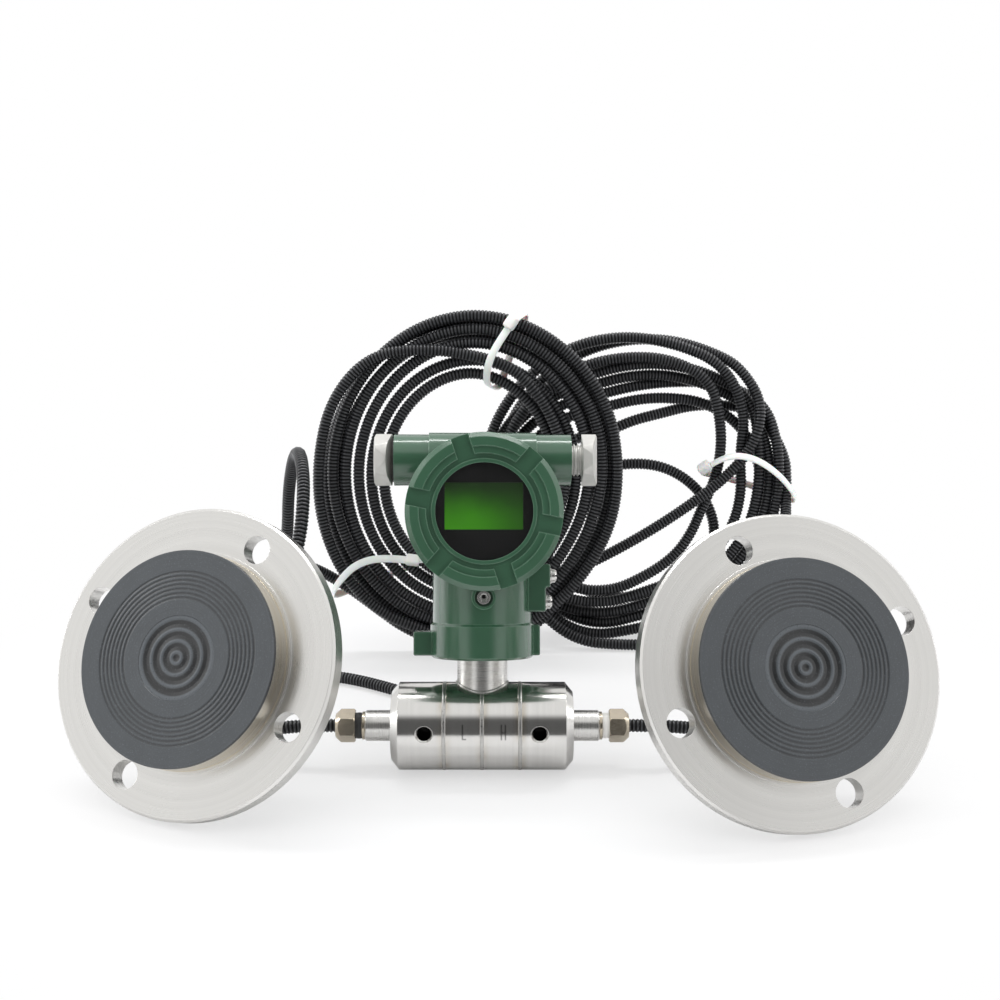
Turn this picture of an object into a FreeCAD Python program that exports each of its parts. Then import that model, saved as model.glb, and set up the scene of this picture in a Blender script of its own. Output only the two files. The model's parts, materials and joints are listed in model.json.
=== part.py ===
import FreeCAD, Part
import math
import os
import re

import Sketcher

# Remote seal differential pressure transmitter with two flanged diaphragm seals.
# Millimetres, +Z up. The sensor barrel lies on the floor along X, the housing on its stem leans
# back, and each seal flange leans back on its rim. Fronts look towards -Y.

# Driving dimensions: alias, value, what it is
SIZES = [
    ("transmitter_x", -7.15, "barrel centre from the origin, along X"),
    ("transmitter_y", -2.91, "barrel centre from the origin, along Y"),
    ("lean_angle", 18, "degrees the stem leans back from upright"),
    ("housing_angle", 2, "degrees the housing is turned on the stem"),
    ("fit_gap", 0.05, "radial clearance of a turned fit"),
    ("free_gap", 0.3, "clearance between faces that move past each other"),
    ("barrel_radius", 28.5, "sensor barrel"),
    ("barrel_length", 118, "sensor barrel over both end blocks"),
    ("end_block_length", 34.5, "end block from its seam to its outer face"),
    ("end_chamfer", 5, "end block chamfer along the axis"),
    ("end_chamfer_drop", 6, "end block chamfer across the axis"),
    ("seam_width", 2.4, "weld groove at the surface"),
    ("seam_depth", 1, "weld groove"),
    ("seam_crown", 0.2, "weld bead above the surface"),
    ("fluid_bore", 5, "radius of the oil way along the barrel"),
    ("dish_radius", 20, "chamber behind each isolating diaphragm"),
    ("dish_depth", 1.2, "chamber behind each isolating diaphragm"),
    ("isolator_thickness", 0.4, "isolating diaphragm"),
    ("capsule_radius", 14, "sensing capsule"),
    ("capsule_length", 12, "sensing capsule"),
    ("wire_bore", 4, "radius of the wire way up to the stem"),
    ("vent_spacing", 74, "between the two tapped holes on the front"),
    ("vent_angle", 4.5, "degrees the tapped holes point below the front"),
    ("vent_radius", 4.25, "core of the tapped hole"),
    ("vent_sink", 5.7, "countersink radius at the surface"),
    ("vent_depth", 14, "tapped hole"),
    ("stub_radius", 10, "port stub"),
    ("stub_length", 17.5, "port stub outside the end block"),
    ("stub_chamfer", 0.8, "port stub"),
    ("socket_radius", 7.5, "spigot of the stub in the end block"),
    ("socket_depth", 8, "spigot of the stub in the end block"),
    ("capillary_bore", 1.5, "radius of the oil way in stub and union"),
    ("thread_radius", 6.6, "union thread in the stub"),
    ("thread_depth", 10, "union thread in the stub"),
    ("union_collar_radius", 9.1, "thin collar of the union"),
    ("union_collar_width", 1.8, "thin collar of the union"),
    ("union_neck_radius", 6.9, "union neck under the nut"),
    ("union_reach", 6.4, "from stub face to nut"),
    ("tape_radius", 8.3, "thread tape round the right neck"),
    ("washer_radius", 8.6, "sealing washer on the left neck"),
    ("nut_flats", 19, "capillary nut across flats"),
    ("nut_length", 12.8, "capillary nut"),
    ("nut_grip", 7, "nut over the union neck"),
    ("nut_crown", 3.5, "length of the nut's tapered end"),
    ("hose_radius", 4.5, "armoured capillary hose"),
    ("hose_run", 32, "straight hose from inside a nut or gland"),
    ("stem_radius", 16.4, "sensor stem"),
    ("stem_bore", 7, "wire way in the stem"),
    ("stem_bead", 0.9, "weld bead round the stem's foot"),
    ("journal_radius", 12.95, "stem journal in the housing"),
    ("journal_length", 17, "stem journal above the shoulder"),
    ("ring_groove", 1.2, "depth of the snap ring groove"),
    ("ring_width", 1.5, "snap ring"),
    ("ring_stand", 1.8, "snap ring beyond the journal"),
    ("collar_bottom", 44.9, "housing foot above the barrel axis"),
    ("collar_height", 23.1, "thick band at the housing foot"),
    ("collar_radius", 34, "thick band at the housing foot"),
    ("collar_chamfer", 1.5, "thick band at the housing foot"),
    ("bearing_length", 13, "housing bore on the stem journal"),
    ("neck_radius", 32.5, "housing neck"),
    ("neck_wall", 8, "housing neck"),
    ("case_height", 139.7, "case axis above the barrel axis"),
    ("case_radius", 46, "case between the covers"),
    ("case_half", 44, "case from its middle to each threaded end"),
    ("shoulder", 33, "case from its middle to each cover shoulder"),
    ("cover_thread", 43.5, "radius of the case threads"),
    ("cavity_radius", 39.5, "compartments in the case"),
    ("bulkhead_front", 16, "front face of the wall between compartments"),
    ("bulkhead_wall", 5, "wall between compartments"),
    ("hub_height", 174, "conduit hub axis above the barrel axis"),
    ("hub_radius", 16.8, "conduit hub"),
    ("hub_length", 115.6, "conduit hubs from end to end"),
    ("hub_root_radius", 18, "thicker root of the conduit hub"),
    ("hub_root_length", 70, "thicker roots from end to end"),
    ("conduit_radius", 10.6, "conduit thread"),
    ("plug_flats", 29.5, "conduit plug across flats"),
    ("plug_left_length", 11.9, "hexagon of the left plug"),
    ("plug_right_length", 10.2, "hexagon of the right plug"),
    ("plug_right_stand", 7.4, "bare thread of the right plug"),
    ("plug_shank", 15, "plug thread in the hub"),
    ("plug_groove", 1.1, "grooves of the bare thread"),
    ("plug_chamfer", 2, "plug's outer edge"),
    ("plug_seal_width", 1, "seal under the left plug"),
    ("plug_seal_radius", 14.4, "seal under the left plug"),
    ("lug_reach", 45, "left foot lug from the stem axis"),
    ("lug_width", 14, "left foot lug, front to back"),
    ("lug_height", 15.6, "left foot lug"),
    ("lug_rise", 1.4, "left foot lug above the housing foot"),
    ("small_lug_reach", 37.6, "right foot lug from the stem axis"),
    ("small_lug_height", 20, "right foot lug"),
    ("pad_reach", 41, "ground pad from the stem axis"),
    ("pad_step", 3, "upper part of the ground pad stands out by this"),
    ("pad_width", 27, "ground pad, front to back"),
    ("pad_bottom", 75, "ground pad above the barrel axis"),
    ("pad_step_height", 91, "step of the ground pad above the barrel axis"),
    ("pad_top", 106, "ground pad above the barrel axis"),
    ("cast_round", 1.2, "rounding of the lugs and the ground pad"),
    ("ground_low", 81, "lower ground screw above the barrel axis"),
    ("ground_high", 98, "upper ground screw above the barrel axis"),
    ("ground_head", 4.5, "ground screw head radius"),
    ("ground_head_height", 3.6, "ground screw head"),
    ("ground_shank", 2, "ground screw thread radius"),
    ("ground_depth", 6, "ground screw in the pad"),
    ("ground_slot", 1.1, "screwdriver slot of the ground screws"),
    ("ground_washer", 5.2, "ground washer radius"),
    ("ground_washer_width", 1.2, "ground washer"),
    ("lock_drop", 4.6, "cover lock boss below the front cover's rim"),
    ("lock_boss", 7.6, "cover lock boss radius"),
    ("lock_front", 41, "cover lock boss in front of the stem axis"),
    ("lock_recess", 5.9, "recess round the lock screw"),
    ("lock_recess_depth", 4.5, "recess round the lock screw"),
    ("lock_head", 4.2, "lock screw head radius"),
    ("lock_head_height", 3.4, "lock screw head"),
    ("lock_shank", 2.4, "lock screw thread radius"),
    ("lock_shank_length", 4, "lock screw in the boss"),
    ("socket_flats", 4.4, "hexagon socket of the lock screw"),
    ("cover_radius", 49.6, "covers"),
    ("cover_top", 56, "cover front from the case middle"),
    ("cover_shelf", 53.6, "cover shelf from the case middle"),
    ("cover_floor", 51, "cover notch floor from the case middle"),
    ("cover_inside", 46, "inside of the cover wall from the case middle"),
    ("cover_edge", 3, "bevel round the cover front"),
    ("cover_edge_drop", 1.6, "bevel round the cover front, along the axis"),
    ("shelf_outer", 41, "outer radius of the cover shelf"),
    ("shelf_inner", 36.4, "inner radius of the cover shelf"),
    ("notch_width", 11.4, "wrench notches in the covers"),
    ("notch_count", 6, "wrench notches in the covers"),
    ("notch_angle", 48.5, "degrees from +X to the first notch"),
    ("rim_radius", 33, "rim round the window"),
    ("rim_top", 53, "rim round the window from the case middle"),
    ("window_radius", 30.6, "window opening"),
    ("glass_radius", 35, "window glass"),
    ("glass_seat", 50.6, "window seat from the case middle"),
    ("gasket_width", 0.6, "window gasket"),
    ("glass_width", 3, "window glass"),
    ("seal_outer", 45.2, "cover seal outer radius"),
    ("seal_width", 1.5, "cover seal"),
    ("bezel_radius", 38.6, "display bezel"),
    ("bezel_front", 41.5, "display bezel from the case middle"),
    ("bezel_width", 1.5, "display bezel"),
    ("screen_width", 49.4, "display opening"),
    ("screen_height", 29.6, "display opening"),
    ("screen_rise", 3.5, "display opening above the case axis"),
    ("screen_margin", 2, "display panel beyond its opening"),
    ("screen_thickness", 2, "display panel"),
    ("board_radius", 37, "display board"),
    ("board_width", 1.6, "display board"),
    ("spacer_radius", 2.5, "board spacers"),
    ("spacer_circle", 30, "board spacers from the case axis"),
    ("terminal_width", 48, "terminal block"),
    ("terminal_height", 20, "terminal block"),
    ("terminal_depth", 15, "terminal block"),
    ("terminal_pitch", 14, "terminal screws"),
    ("terminal_head", 3.6, "terminal screw head radius"),
    ("terminal_head_height", 2.4, "terminal screw head"),
    ("flange_radius", 97.5, "seal flange, nominal bore 80"),
    ("flange_thickness", 11, "seal flange plate"),
    ("flange_bevel", 1.5, "front edge of the plate"),
    ("bolt_circle", 160, "bolt circle diameter"),
    ("bolt_count", 4, "bolt holes"),
    ("bolt_radius", 9, "bolt holes"),
    ("step_radius", 69, "raised step at the foot of the boss"),
    ("step_height", 2.2, "raised step at the foot of the boss"),
    ("boss_radius", 66.9, "turned boss under the diaphragm"),
    ("boss_height", 18.3, "diaphragm face above the plate"),
    ("disc_thickness", 2.2, "diaphragm disc"),
    ("coarse_pitch", 7, "inner corrugations"),
    ("coarse_count", 3, "inner corrugations"),
    ("coarse_depth", 0.9, "inner corrugations"),
    ("coarse_sink", 0.4, "inner corrugations below the face"),
    ("coarse_edge", 26, "radius of the recess round the inner corrugations"),
    ("fine_start", 37, "radius of the first outer corrugation"),
    ("fine_pitch", 2.7, "outer corrugations"),
    ("fine_count", 7, "outer corrugations"),
    ("fine_depth", 0.35, "outer corrugations"),
    ("back_hub_radius", 20, "hub behind the plate"),
    ("back_hub_length", 26, "hub behind the plate"),
    ("back_hub_chamfer", 1.5, "hub behind the plate"),
    ("gland_stem", 7, "gland stem radius"),
    ("gland_collar", 9, "gland collar radius"),
    ("gland_collar_from", 26, "gland collar from the flange axis"),
    ("gland_collar_width", 4, "gland collar"),
    ("gland_sleeve", 6.3, "gland sleeve radius"),
    ("gland_end", 44, "gland end from the flange axis"),
    ("gland_grip", 12, "hose inside the gland"),
    ("fill_screw_flats", 10, "oil fill screw across flats"),
    ("fill_screw_head", 4, "oil fill screw head"),
    ("left_flange_x", -186.645, "left flange front centre"),
    ("left_flange_y", -42.015, "left flange front centre"),
    ("left_flange_yaw_angle", -22, "degrees the left flange is turned"),
    ("left_flange_lean_angle", 29.3, "degrees the left flange leans back"),
    ("left_flange_roll_angle", 69.1, "degrees from its horizontal to the first hole"),
    ("left_gland_angle", 52, "degrees from its horizontal to the gland"),
    ("right_flange_x", 183.355, "right flange front centre"),
    ("right_flange_y", -57.115, "right flange front centre"),
    ("right_flange_yaw_angle", 14, "degrees the right flange is turned"),
    ("right_flange_lean_angle", 28.5, "degrees the right flange leans back"),
    ("right_flange_roll_angle", 17.3, "degrees from its horizontal to the first hole"),
    ("right_gland_angle", 20, "degrees from its horizontal to the gland"),
    ("left_coil_band", 60, "left coil from inner to outer edge"),
    ("right_coil_band", 66, "right coil from inner to outer edge"),
    ("coil_depth", 32, "hose coil, front to back"),
    ("coil_round", 12, "rounding of the hose coil"),
    ("left_coil_x", -17.5, "left coil centre"),
    ("left_coil_y", 199, "left coil centre"),
    ("left_coil_lean_angle", 8, "degrees the left coil leans back"),
    ("left_coil_half_width", 121, "left coil over its outer turns"),
    ("left_coil_half_height", 134.5, "left coil over its outer turns"),
    ("right_coil_x", 114, "right coil centre"),
    ("right_coil_y", 248, "right coil centre"),
    ("right_coil_lean_angle", 12, "degrees the right coil leans back"),
    ("right_coil_half_width", 126, "right coil over its outer turns"),
    ("right_coil_half_height", 122.5, "right coil over its outer turns"),
    ("tie_width", 4.8, "cable tie strap"),
    ("tie_thickness", 1.3, "cable tie strap"),
    ("tie_head", 9, "cable tie head"),
    ("tie_head_height", 6, "cable tie head"),
    ("tie_tail", 8, "end of the strap beyond its head"),
    ("left_upper_tie_angle", 72, "degrees from +X round the left coil"),
    ("left_lower_tie_angle", 228, "degrees from +X round the left coil"),
    ("right_tie_angle", 12, "degrees from +X round the right coil"),
]

# Routes of the free hose: points chosen by hand, from the nut or gland to the coil
LEFT_LEAD = [(-152, 3, 22), (-181, 17, 9), (-208, 42, 4.7), (-217, 78, 4.7), (-201, 112, 4.7),
             (-166, 131, 4.7), (-128, 135, 4.7), (-98, 125, 4.7), (-49, 92, 4.7), (-15, 99, 4.7),
             (4, 128, 4.7), (-3, 162, 5.5), (-30, 181, 9), (-62, 183, 20)]
LEFT_TAIL = [(-123, 6, 152), (-122, 30, 182), (-128, 62, 197), (-137, 94, 186), (-145, 116, 155),
             (-149, 131, 120), (-152, 147, 95), (-142, 168, 77), (-116, 189, 71)]
RIGHT_LEAD = [(146, 1, 23), (175, 13, 12), (202, 37, 5), (212, 72, 4.7), (203, 110, 4.7),
              (180, 145, 4.7), (154, 180, 4.7), (130, 212, 10), (108, 226, 14)]
RIGHT_TAIL = [(262, 24, 112), (264, 62, 108), (251, 100, 98), (237, 138, 91),
              (227, 178, 90), (220, 212, 94), (214, 240, 100)]

# Loose strands that leave the tied bundle and cross the right coil's opening
RIGHT_STRANDS = [[(191, 243, 139), (178, 239, 126), (157, 234, 108), (115, 231, 79), (66, 230, 52)],
                 [(38, 247, 94), (62, 252, 118), (98, 253, 134), (138, 249, 136), (170, 243, 116),
                  (188, 240, 90)]]

ALIASES = {alias for alias, value, note in SIZES}

doc = FreeCAD.newDocument("flange_transmitter")
sheet = doc.addObject("Spreadsheet::Sheet", "Sizes")
for row, (alias, value, note) in enumerate(SIZES, start=1):
    sheet.set(f"A{row}", note)
    sheet.set(f"B{row}", str(value))
    sheet.setAlias(f"B{row}", alias)
doc.recompute()

pieces = []


# Expressions and placements

def on_sheet(text):
    """Name the sheet in front of every alias, so that other objects can read it."""
    def named(word):
        return "Sizes." + word.group() if word.group() in ALIASES else word.group()
    return re.sub(r"[a-z_][a-z0-9_]*", named, str(text))


def number(text):
    return float(sheet.evalExpression(str(text)))


def bind(item, prop, text):
    item.setExpression(prop, on_sheet(text))


def placed(x="0", y="0", z="0", yaw="0", pitch="0", roll="0"):
    """Placement expression: position, then turns about Z, Y and X."""
    return (f"create(<<placement>>; create(<<vector>>; {x}; {y}; {z}); "
            f"create(<<rotation>>; {yaw}; {pitch}; {roll}))")


def flange_frame(side):
    """Front face centre of a flange, +Z out of its face, with the rim's back edge on the floor."""
    height = (f"flange_radius * cos({side}_flange_lean_angle)"
              f" + flange_thickness * sin({side}_flange_lean_angle)")
    return placed(f"{side}_flange_x", f"{side}_flange_y", height,
                  f"{side}_flange_yaw_angle", "0", f"90 - {side}_flange_lean_angle")


def coil_frame(side):
    """Coil centre: its ring stands in the XZ plane, leaning back, with its rounded edge on the floor."""
    height = (f"({side}_coil_half_height - coil_round) * cos({side}_coil_lean_angle)"
              f" + (coil_depth / 2 - coil_round) * sin({side}_coil_lean_angle) + coil_round")
    return placed(f"{side}_coil_x", f"{side}_coil_y", height, "0", "0", f"-{side}_coil_lean_angle")


TRANSMITTER = placed("transmitter_x", "transmitter_y", "barrel_radius + seam_crown", "0", "0", "-lean_angle")
HOUSING = TRANSMITTER + " * " + placed(yaw="housing_angle")
CASE = HOUSING + " * " + placed(z="case_height")
FRONT_COVER = CASE + " * " + placed(pitch="-notch_angle")
REAR_COVER = CASE + " * " + placed(yaw="180")
LOCK_HEIGHT = "(case_height - cover_radius - lock_drop)"


def finish(item, label, frame):
    """Name a finished sub-part and put it in its frame."""
    item.Label = label
    bind(item, "Placement", frame)
    pieces.append(item)
    return item


# Sketched features

def new_body(name):
    return doc.addObject("PartDesign::Body", name)


def new_sketch(body, plane, name, lift=None):
    sketch = body.newObject("Sketcher::SketchObject", f"{body.Name}_{name}")
    base = [item for item in body.Origin.OriginFeatures if item.Role == plane][0]
    sketch.AttachmentSupport = [(base, "")]
    sketch.MapMode = "FlatFace"
    if lift is not None:
        bind(sketch, "AttachmentOffset.Base.z", lift)
    return sketch


def fix(sketch, kind, *where, text):
    """Add a dimension and tie it to the sheet."""
    index = sketch.addConstraint(Sketcher.Constraint(kind, *where, number(text)))
    bind(sketch, f"Constraints[{index}]", text)


def outline(sketch, points):
    """Closed outline of straight edges, with each corner's place tied to the sheet."""
    corners = [FreeCAD.Vector(number(x), number(y), 0) for x, y in points]
    count = len(corners)
    for index in range(count):
        sketch.addGeometry(Part.LineSegment(corners[index], corners[(index + 1) % count]), False)
    for index in range(count):
        sketch.addConstraint(Sketcher.Constraint("Coincident", index, 2, (index + 1) % count, 1))
    for index, (x, y) in enumerate(points):
        fix(sketch, "DistanceX", index, 1, text=x)
        fix(sketch, "DistanceY", index, 1, text=y)
    return sketch


def circle(sketch, x, y, radius):
    centre = FreeCAD.Vector(number(x), number(y), 0)
    index = sketch.addGeometry(Part.Circle(centre, FreeCAD.Vector(0, 0, 1), number(radius)), False)
    fix(sketch, "DistanceX", index, 3, text=x)
    fix(sketch, "DistanceY", index, 3, text=y)
    fix(sketch, "Radius", index, text=radius)
    return sketch


def rectangle(sketch, low_x, high_x, low_y, high_y):
    return outline(sketch, [(low_x, low_y), (high_x, low_y), (high_x, high_y), (low_x, high_y)])


def turned(name, points, plane="XY_Plane", axis="H_Axis"):
    """Body of revolution: about X by default, about Z with XZ_Plane, about Y with V_Axis."""
    body = new_body(name)
    sketch = outline(new_sketch(body, plane, "outline"), points)
    feature = body.newObject("PartDesign::Revolution", name + "_turned")
    feature.Profile = sketch
    feature.ReferenceAxis = (sketch, [axis])
    feature.Angle = 360
    sketch.Visibility = False
    return body


def pocket(body, sketch, name, length=None):
    feature = body.newObject("PartDesign::Pocket", f"{body.Name}_{name}")
    feature.Profile = sketch
    if length is None:
        feature.Type = "ThroughAll"
        feature.Midplane = True
    else:
        bind(feature, "Length", length)
    return feature


def ring_of(body, feature, sketch, count, name):
    """Repeat a feature round the sketch's normal."""
    pattern = body.newObject("PartDesign::PolarPattern", f"{body.Name}_{name}")
    pattern.Originals = [feature]
    pattern.Axis = (sketch, ["N_Axis"])
    pattern.Angle = 360
    bind(pattern, "Occurrences", count)
    body.Tip = pattern


# Primitives and booleans

def primitive(kind, name, at=("0", "0", "0"), turn=("0", "0", "0"), **sizes):
    item = doc.addObject("Part::" + kind, name)
    for prop, text in sizes.items():
        bind(item, prop, text)
    bind(item, "Placement", placed(*at, *turn))
    return item


def cylinder(name, radius, length, at=("0", "0", "0"), turn=("0", "0", "0")):
    return primitive("Cylinder", name, at, turn, Radius=radius, Height=length)


def box(name, low, size):
    return primitive("Box", name, low, Length=size[0], Width=size[1], Height=size[2])


def fused(name, shapes):
    item = doc.addObject("Part::MultiFuse", name)
    item.Shapes = shapes
    return item


def cut(name, base, tools):
    item = doc.addObject("Part::Cut", name)
    item.Base = base
    item.Tool = tools[0] if len(tools) == 1 else fused(name + "_tools", tools)
    return item


def common(name, first, second):
    item = doc.addObject("Part::Common", name)
    item.Base = first
    item.Tool = second
    return item


def group(name, shapes):
    item = doc.addObject("Part::Compound", name)
    item.Links = shapes
    return item


ALONG_X = ("0", "90", "0")
TO_FRONT = ("0", "0", "90")
TO_BACK = ("0", "0", "-90")


# Sensor barrel

def end_block(name, side):
    """Turned block with a chamfered end, a stub socket and one tapped hole on the front."""
    inner = f"{side} * (barrel_length / 2 - end_block_length)"
    outer = f"{side} * barrel_length / 2"
    chamber = f"{inner} + {side} * dish_depth"
    socket = f"{outer} - {side} * socket_depth"
    body = turned(name + "_block", [
        (chamber, "fluid_bore"), (chamber, "dish_radius"), (inner, "dish_radius"),
        (inner, "barrel_radius - seam_depth"), (f"{inner} + {side} * seam_width / 2", "barrel_radius"),
        (f"{outer} - {side} * end_chamfer", "barrel_radius"), (outer, "barrel_radius - end_chamfer_drop"),
        (outer, "socket_radius"), (socket, "socket_radius"), (socket, "fluid_bore")])
    x = f"{side} * vent_spacing / 2"
    low = "(barrel_radius - vent_depth)"
    hole = cylinder(name + "_hole", "vent_radius", "vent_depth + 1",
                    (x, f"-cos(vent_angle) * {low}", f"-sin(vent_angle) * {low}"),
                    ("0", "0", "90 + vent_angle"))
    rim = "(barrel_radius - vent_sink + vent_radius)"
    sink = primitive("Cone", name + "_sink",
                     (x, f"-cos(vent_angle) * {rim}", f"-sin(vent_angle) * {rim}"),
                     ("0", "0", "90 + vent_angle"), Radius1="vent_radius",
                     Radius2="vent_sink + 1", Height="vent_sink - vent_radius + 1")
    finish(cut(name, body, [hole, sink]), name, TRANSMITTER)


def cell_half(name, side):
    """Half of the sensing cell: a pocket for the capsule, an oil way and the wire way up."""
    inner = f"{side} * (barrel_length / 2 - end_block_length)"
    groove = f"{side} * seam_width / 2"
    pocket_end = f"{side} * capsule_length / 2"
    body = turned(name + "_block", [
        (pocket_end, "fluid_bore"), (pocket_end, "capsule_radius + fit_gap"),
        ("0", "capsule_radius + fit_gap"),
        ("0", "barrel_radius - seam_depth"), (groove, "barrel_radius"),
        (f"{inner} - {groove}", "barrel_radius"), (inner, "barrel_radius - seam_depth"),
        (inner, "fluid_bore")])
    way = cylinder(name + "_way", "wire_bore", "barrel_radius + 1")
    finish(cut(name, body, [way]), name, TRANSMITTER)


def seam_welds():
    """Three weld beads that fill the grooves between the blocks."""
    beads = []
    seam = "(barrel_length / 2 - end_block_length)"
    for name, centre in (("left", f"-1 * {seam}"), ("middle", "0"), ("right", seam)):
        beads.append(turned(f"bead_{name}", [
            (f"{centre} - seam_width / 2", "barrel_radius"), (centre, "barrel_radius - seam_depth"),
            (f"{centre} + seam_width / 2", "barrel_radius"),
            (f"{centre} + seam_width / 4", "barrel_radius + seam_crown"),
            (f"{centre} - seam_width / 4", "barrel_radius + seam_crown")]))
    under_stem = cylinder("bead_under_stem", "stem_radius + stem_bead", "barrel_radius * 2")
    beads[1] = cut("bead_middle_open", beads[1], [under_stem])
    finish(group("seam_welds", beads), "seam_welds", TRANSMITTER)


def isolator(name, side):
    inner = f"{side} * (barrel_length / 2 - end_block_length)"
    back = f"{inner} + {side} * isolator_thickness"
    finish(turned(name, [(inner, "0"), (inner, "dish_radius - fit_gap"), (back, "dish_radius - fit_gap"),
                         (back, "0")]), name, TRANSMITTER)


def sensor_capsule():
    half = "capsule_length / 2"
    finish(turned("sensor_capsule", [
        (f"-{half}", "0"), (f"-{half}", "capsule_radius - 1"), (f"1 - {half}", "capsule_radius"),
        (f"{half} - 1", "capsule_radius"), (half, "capsule_radius - 1"), (half, "0")]),
        "sensor_capsule", TRANSMITTER)


def port_stub(name, side):
    """Port stub with a spigot in the end block and a thread for the union."""
    base = f"{side} * barrel_length / 2"
    root = f"{base} - {side} * socket_depth"
    end = f"{base} + {side} * stub_length"
    bottom = f"{end} - {side} * thread_depth"
    finish(turned(name, [
        (root, "capillary_bore"), (root, "socket_radius - fit_gap"), (base, "socket_radius - fit_gap"),
        (base, "stub_radius"), (f"{end} - {side} * stub_chamfer", "stub_radius"),
        (end, "stub_radius - stub_chamfer"), (end, "thread_radius + fit_gap"),
        (bottom, "thread_radius + fit_gap"), (bottom, "capillary_bore")]), name, TRANSMITTER)


def stub_face(side):
    return f"{side} * (barrel_length / 2 + stub_length)"


def union(name, side):
    """Male connector: thread in the stub, thin collar, and the neck that the nut is on."""
    face = stub_face(side)
    root = f"{face} - {side} * thread_depth"
    collar = f"{face} + {side} * union_collar_width"
    tip = f"{face} + {side} * (union_reach + nut_grip)"
    finish(turned(name, [
        (root, "capillary_bore"), (root, "thread_radius"), (face, "thread_radius"),
        (face, "union_collar_radius"), (collar, "union_collar_radius"), (collar, "union_neck_radius"),
        (tip, "union_neck_radius"), (tip, "capillary_bore")]), name, TRANSMITTER)


def neck_ring(name, side, radius):
    """Ring on the union's neck, between its collar and the nut."""
    start = f"{stub_face(side)} + {side} * union_collar_width"
    end = f"{stub_face(side)} + {side} * union_reach"
    finish(turned(name, [(start, "union_neck_radius + fit_gap"), (start, f"{radius} - 0.3"),
                         (f"({start} + {end}) / 2", radius), (end, f"{radius} - 0.3"),
                         (end, "union_neck_radius + fit_gap")]), name, TRANSMITTER)


def capillary_nut(name, side):
    """Hexagon nut with a tapered end, bored for the union's neck and for the hose."""
    start = f"{stub_face(side)} + {side} * union_reach"
    step = f"{start} + {side} * nut_grip"
    end = f"{start} + {side} * nut_length"
    corner = "nut_flats / 2 / cos(30)"
    prism = primitive("Prism", name + "_hexagon", (start if side > 0 else end, "0", "0"), ALONG_X,
                      Circumradius=corner, Height="nut_length")
    blank = turned(name + "_blank", [
        (start, "union_neck_radius + fit_gap"), (start, f"{corner} - 1"), (f"{start} + {side}", corner),
        (f"{end} - {side} * nut_crown", corner), (end, f"{corner} * 0.72"), (end, "hose_radius + fit_gap"),
        (step, "hose_radius + fit_gap"), (step, "union_neck_radius + fit_gap")])
    finish(common(name, prism, blank), name, TRANSMITTER)


# Stem

def sensor_stem():
    """Stem saddled on the barrel, with a shoulder and a journal that the housing turns on."""
    shoulder = "collar_bottom - free_gap"
    top = f"{shoulder} + journal_length"
    groove = "collar_bottom + bearing_length + free_gap"
    groove_top = f"{groove} + ring_width + fit_gap"
    body = turned("stem_blank", [
        ("stem_bore", "0"), ("stem_radius", "0"), ("stem_radius", shoulder), ("journal_radius", shoulder),
        ("journal_radius", groove), ("journal_radius - ring_groove", groove),
        ("journal_radius - ring_groove", groove_top), ("journal_radius", groove_top),
        ("journal_radius", top), ("stem_bore", top)], "XZ_Plane", "V_Axis")
    saddle = cylinder("stem_saddle", "barrel_radius", "barrel_length",
                      ("-barrel_length / 2", "0", "0"), ALONG_X)
    finish(cut("sensor_stem", body, [saddle]), "sensor_stem", TRANSMITTER)


def stem_weld():
    """Bead along the saddle: where a jacket round the stem meets a jacket round the barrel."""
    stem_jacket = cylinder("weld_stem_jacket", "stem_radius + stem_bead", "barrel_radius * 2")
    barrel_jacket = cylinder("weld_barrel_jacket", "barrel_radius + stem_bead", "barrel_length",
                             ("-barrel_length / 2", "0", "0"), ALONG_X)
    ring = common("weld_ring", stem_jacket, barrel_jacket)
    stem_core = cylinder("weld_stem_core", "stem_radius", "barrel_radius * 2")
    barrel_core = cylinder("weld_barrel_core", "barrel_radius", "barrel_length",
                           ("-barrel_length / 2", "0", "0"), ALONG_X)
    finish(cut("stem_weld", ring, [stem_core, barrel_core]), "stem_weld", TRANSMITTER)


def stem_snap_ring():
    low = "collar_bottom + bearing_length + free_gap"
    high = f"{low} + ring_width"
    inner = "journal_radius - ring_groove + fit_gap"
    outer = "journal_radius + ring_stand"
    finish(turned("stem_snap_ring", [(inner, low), (outer, low), (outer, high), (inner, high)],
                  "XZ_Plane", "V_Axis"), "stem_snap_ring", TRANSMITTER)


# Housing

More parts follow.
